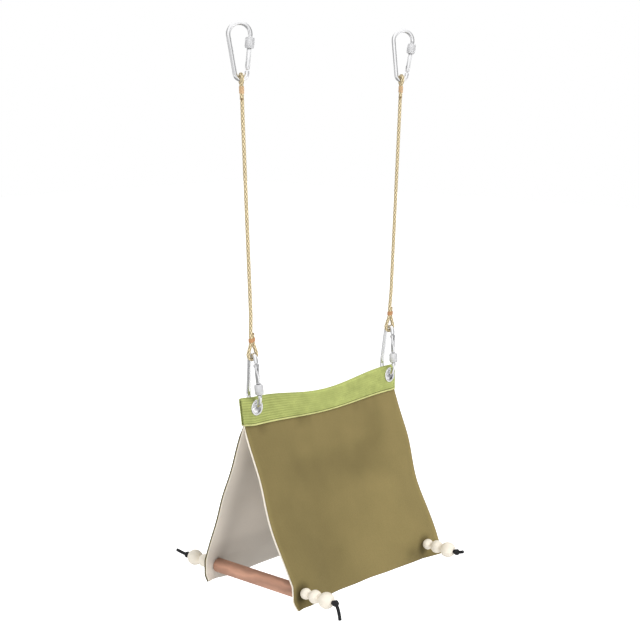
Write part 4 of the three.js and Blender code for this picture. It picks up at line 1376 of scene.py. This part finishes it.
class BIRDTENT_OT_perches(bpy.types.Operator):
    """Wooden perches across the tent"""
    bl_idname = "birdtent.perches"
    bl_label = "Perches"
    rounding = 0.0009

    def execute(self, context):
        at = layout()
        base = at.finish.perch
        finish = wood_material("stained_wood", base, darker(base, 0.45), rings=45.0, fibres=380.0,
                               roughness=0.6, contrast=0.65, ends=0.03)
        radius = at.perch.diameter / 2
        end = at.perch.length / 2
        corner = (radius - self.rounding, end - self.rounding)
        profile = mirrored([(at.bore, end)] + arc(self.rounding, corner, 90, 0, 5))
        for side, x in at.perches:
            spot = Matrix.Translation((x, 0, at.eyelets + at.perch_level))
            node = f"perch_{side}"
            piece(f"wooden_{node}", turn(profile, "Y", 40), finish, node, (node,), pose=spot)
        return {"FINISHED"}


class BIRDTENT_OT_beads(bpy.types.Operator):
    """Turned wooden beads on the cord ends"""
    bl_idname = "birdtent.beads"
    bl_label = "Beads"

    def execute(self, context):
        at = layout()
        base = at.finish.bead
        finish = wood_material("natural_bead_wood", base, darker(base, 0.85), rings=70.0, fibres=500.0,
                               roughness=0.5, contrast=0.3, ends=0.2)
        for side, x in at.perches:
            for face, sign in FACES:
                for name, (diameter, reach, place) in zip(BEAD_PLACES, at.beads):
                    node = f"bead_{face}_{side}_{name}"
                    spot = Matrix.Translation((x, sign * place, at.eyelets + at.perch_level))
                    bm = self.bead(at, diameter, reach)
                    piece(f"turned_{node}", bm, finish, node, (node,), pose=spot)
        return {"FINISHED"}

    def bead(self, at, diameter, reach):
        """Ball cut flat at both mouths and bored along Y"""
        bm = bmesh.new()
        bmesh.ops.create_uvsphere(bm, u_segments=32, v_segments=24, radius=diameter / 2,
                                  matrix=Matrix.Rotation(math.pi / 2, 4, "X"))
        rims = []
        for sign in (-1, 1):
            ball = bm.verts[:] + bm.edges[:] + bm.faces[:]
            cut = bmesh.ops.bisect_plane(bm, geom=ball, plane_co=(0, sign * reach, 0), plane_no=(0, sign, 0),
                                         clear_outer=True)
            mouth = only(bmesh.types.BMEdge, cut["geom_cut"])
            verts = only(bmesh.types.BMVert, bmesh.ops.extrude_edge_only(bm, edges=mouth)["geom"])
            for vert in verts:
                flat = Vector((vert.co.x, 0, vert.co.z)).normalized() * at.bore
                vert.co = Vector((flat.x, sign * (reach - GAP), flat.z))
            rims += ring_edges(verts)
        bmesh.ops.bridge_loops(bm, edges=rims)
        facing_out(bm)
        return bm


class BIRDTENT_PT_pieces(bpy.types.Panel):
    """Lists the pieces of the tent"""
    bl_idname = "BIRDTENT_PT_pieces"
    bl_label = "Bird tent"
    bl_space_type = "VIEW_3D"
    bl_region_type = "UI"
    bl_category = "Bird tent"

    def draw(self, context):
        for operator in OPERATORS:
            self.layout.operator(operator.bl_idname)
        for name in SETTINGS:
            settings = getattr(context.scene, name)
            box = self.layout.box()
            for key in settings.__annotations__:
                box.prop(settings, key)


OPERATORS = (BIRDTENT_OT_stage, BIRDTENT_OT_ropes, BIRDTENT_OT_perch_cords, BIRDTENT_OT_carabiners,
             BIRDTENT_OT_panels, BIRDTENT_OT_band, BIRDTENT_OT_eyelets, BIRDTENT_OT_perches,
             BIRDTENT_OT_beads)
SETTINGS = {"birdtent_line": BirdTentLine, "birdtent_hook": BirdTentHook, "birdtent_cloth": BirdTentCloth,
            "birdtent_perch": BirdTentPerch, "birdtent_finish": BirdTentFinish}
CLASSES = (*SETTINGS.values(), *OPERATORS, BIRDTENT_PT_pieces)


def register():
    for cls in CLASSES:
        bpy.utils.register_class(cls)
    for name, cls in SETTINGS.items():
        setattr(bpy.types.Scene, name, bpy.props.PointerProperty(type=cls))


def unregister():
    for name in SETTINGS:
        delattr(bpy.types.Scene, name)
    for cls in reversed(CLASSES):
        bpy.utils.unregister_class(cls)


def main():
    register()
    bpy.ops.birdtent.stage()
    bpy.ops.birdtent.ropes()
    bpy.ops.birdtent.perch_cords()
    bpy.ops.birdtent.carabiners()
    bpy.ops.birdtent.panels()
    bpy.ops.birdtent.band()
    bpy.ops.birdtent.eyelets()
    bpy.ops.birdtent.perches()
    bpy.ops.birdtent.beads()


if __name__ == "__main__":
    main()
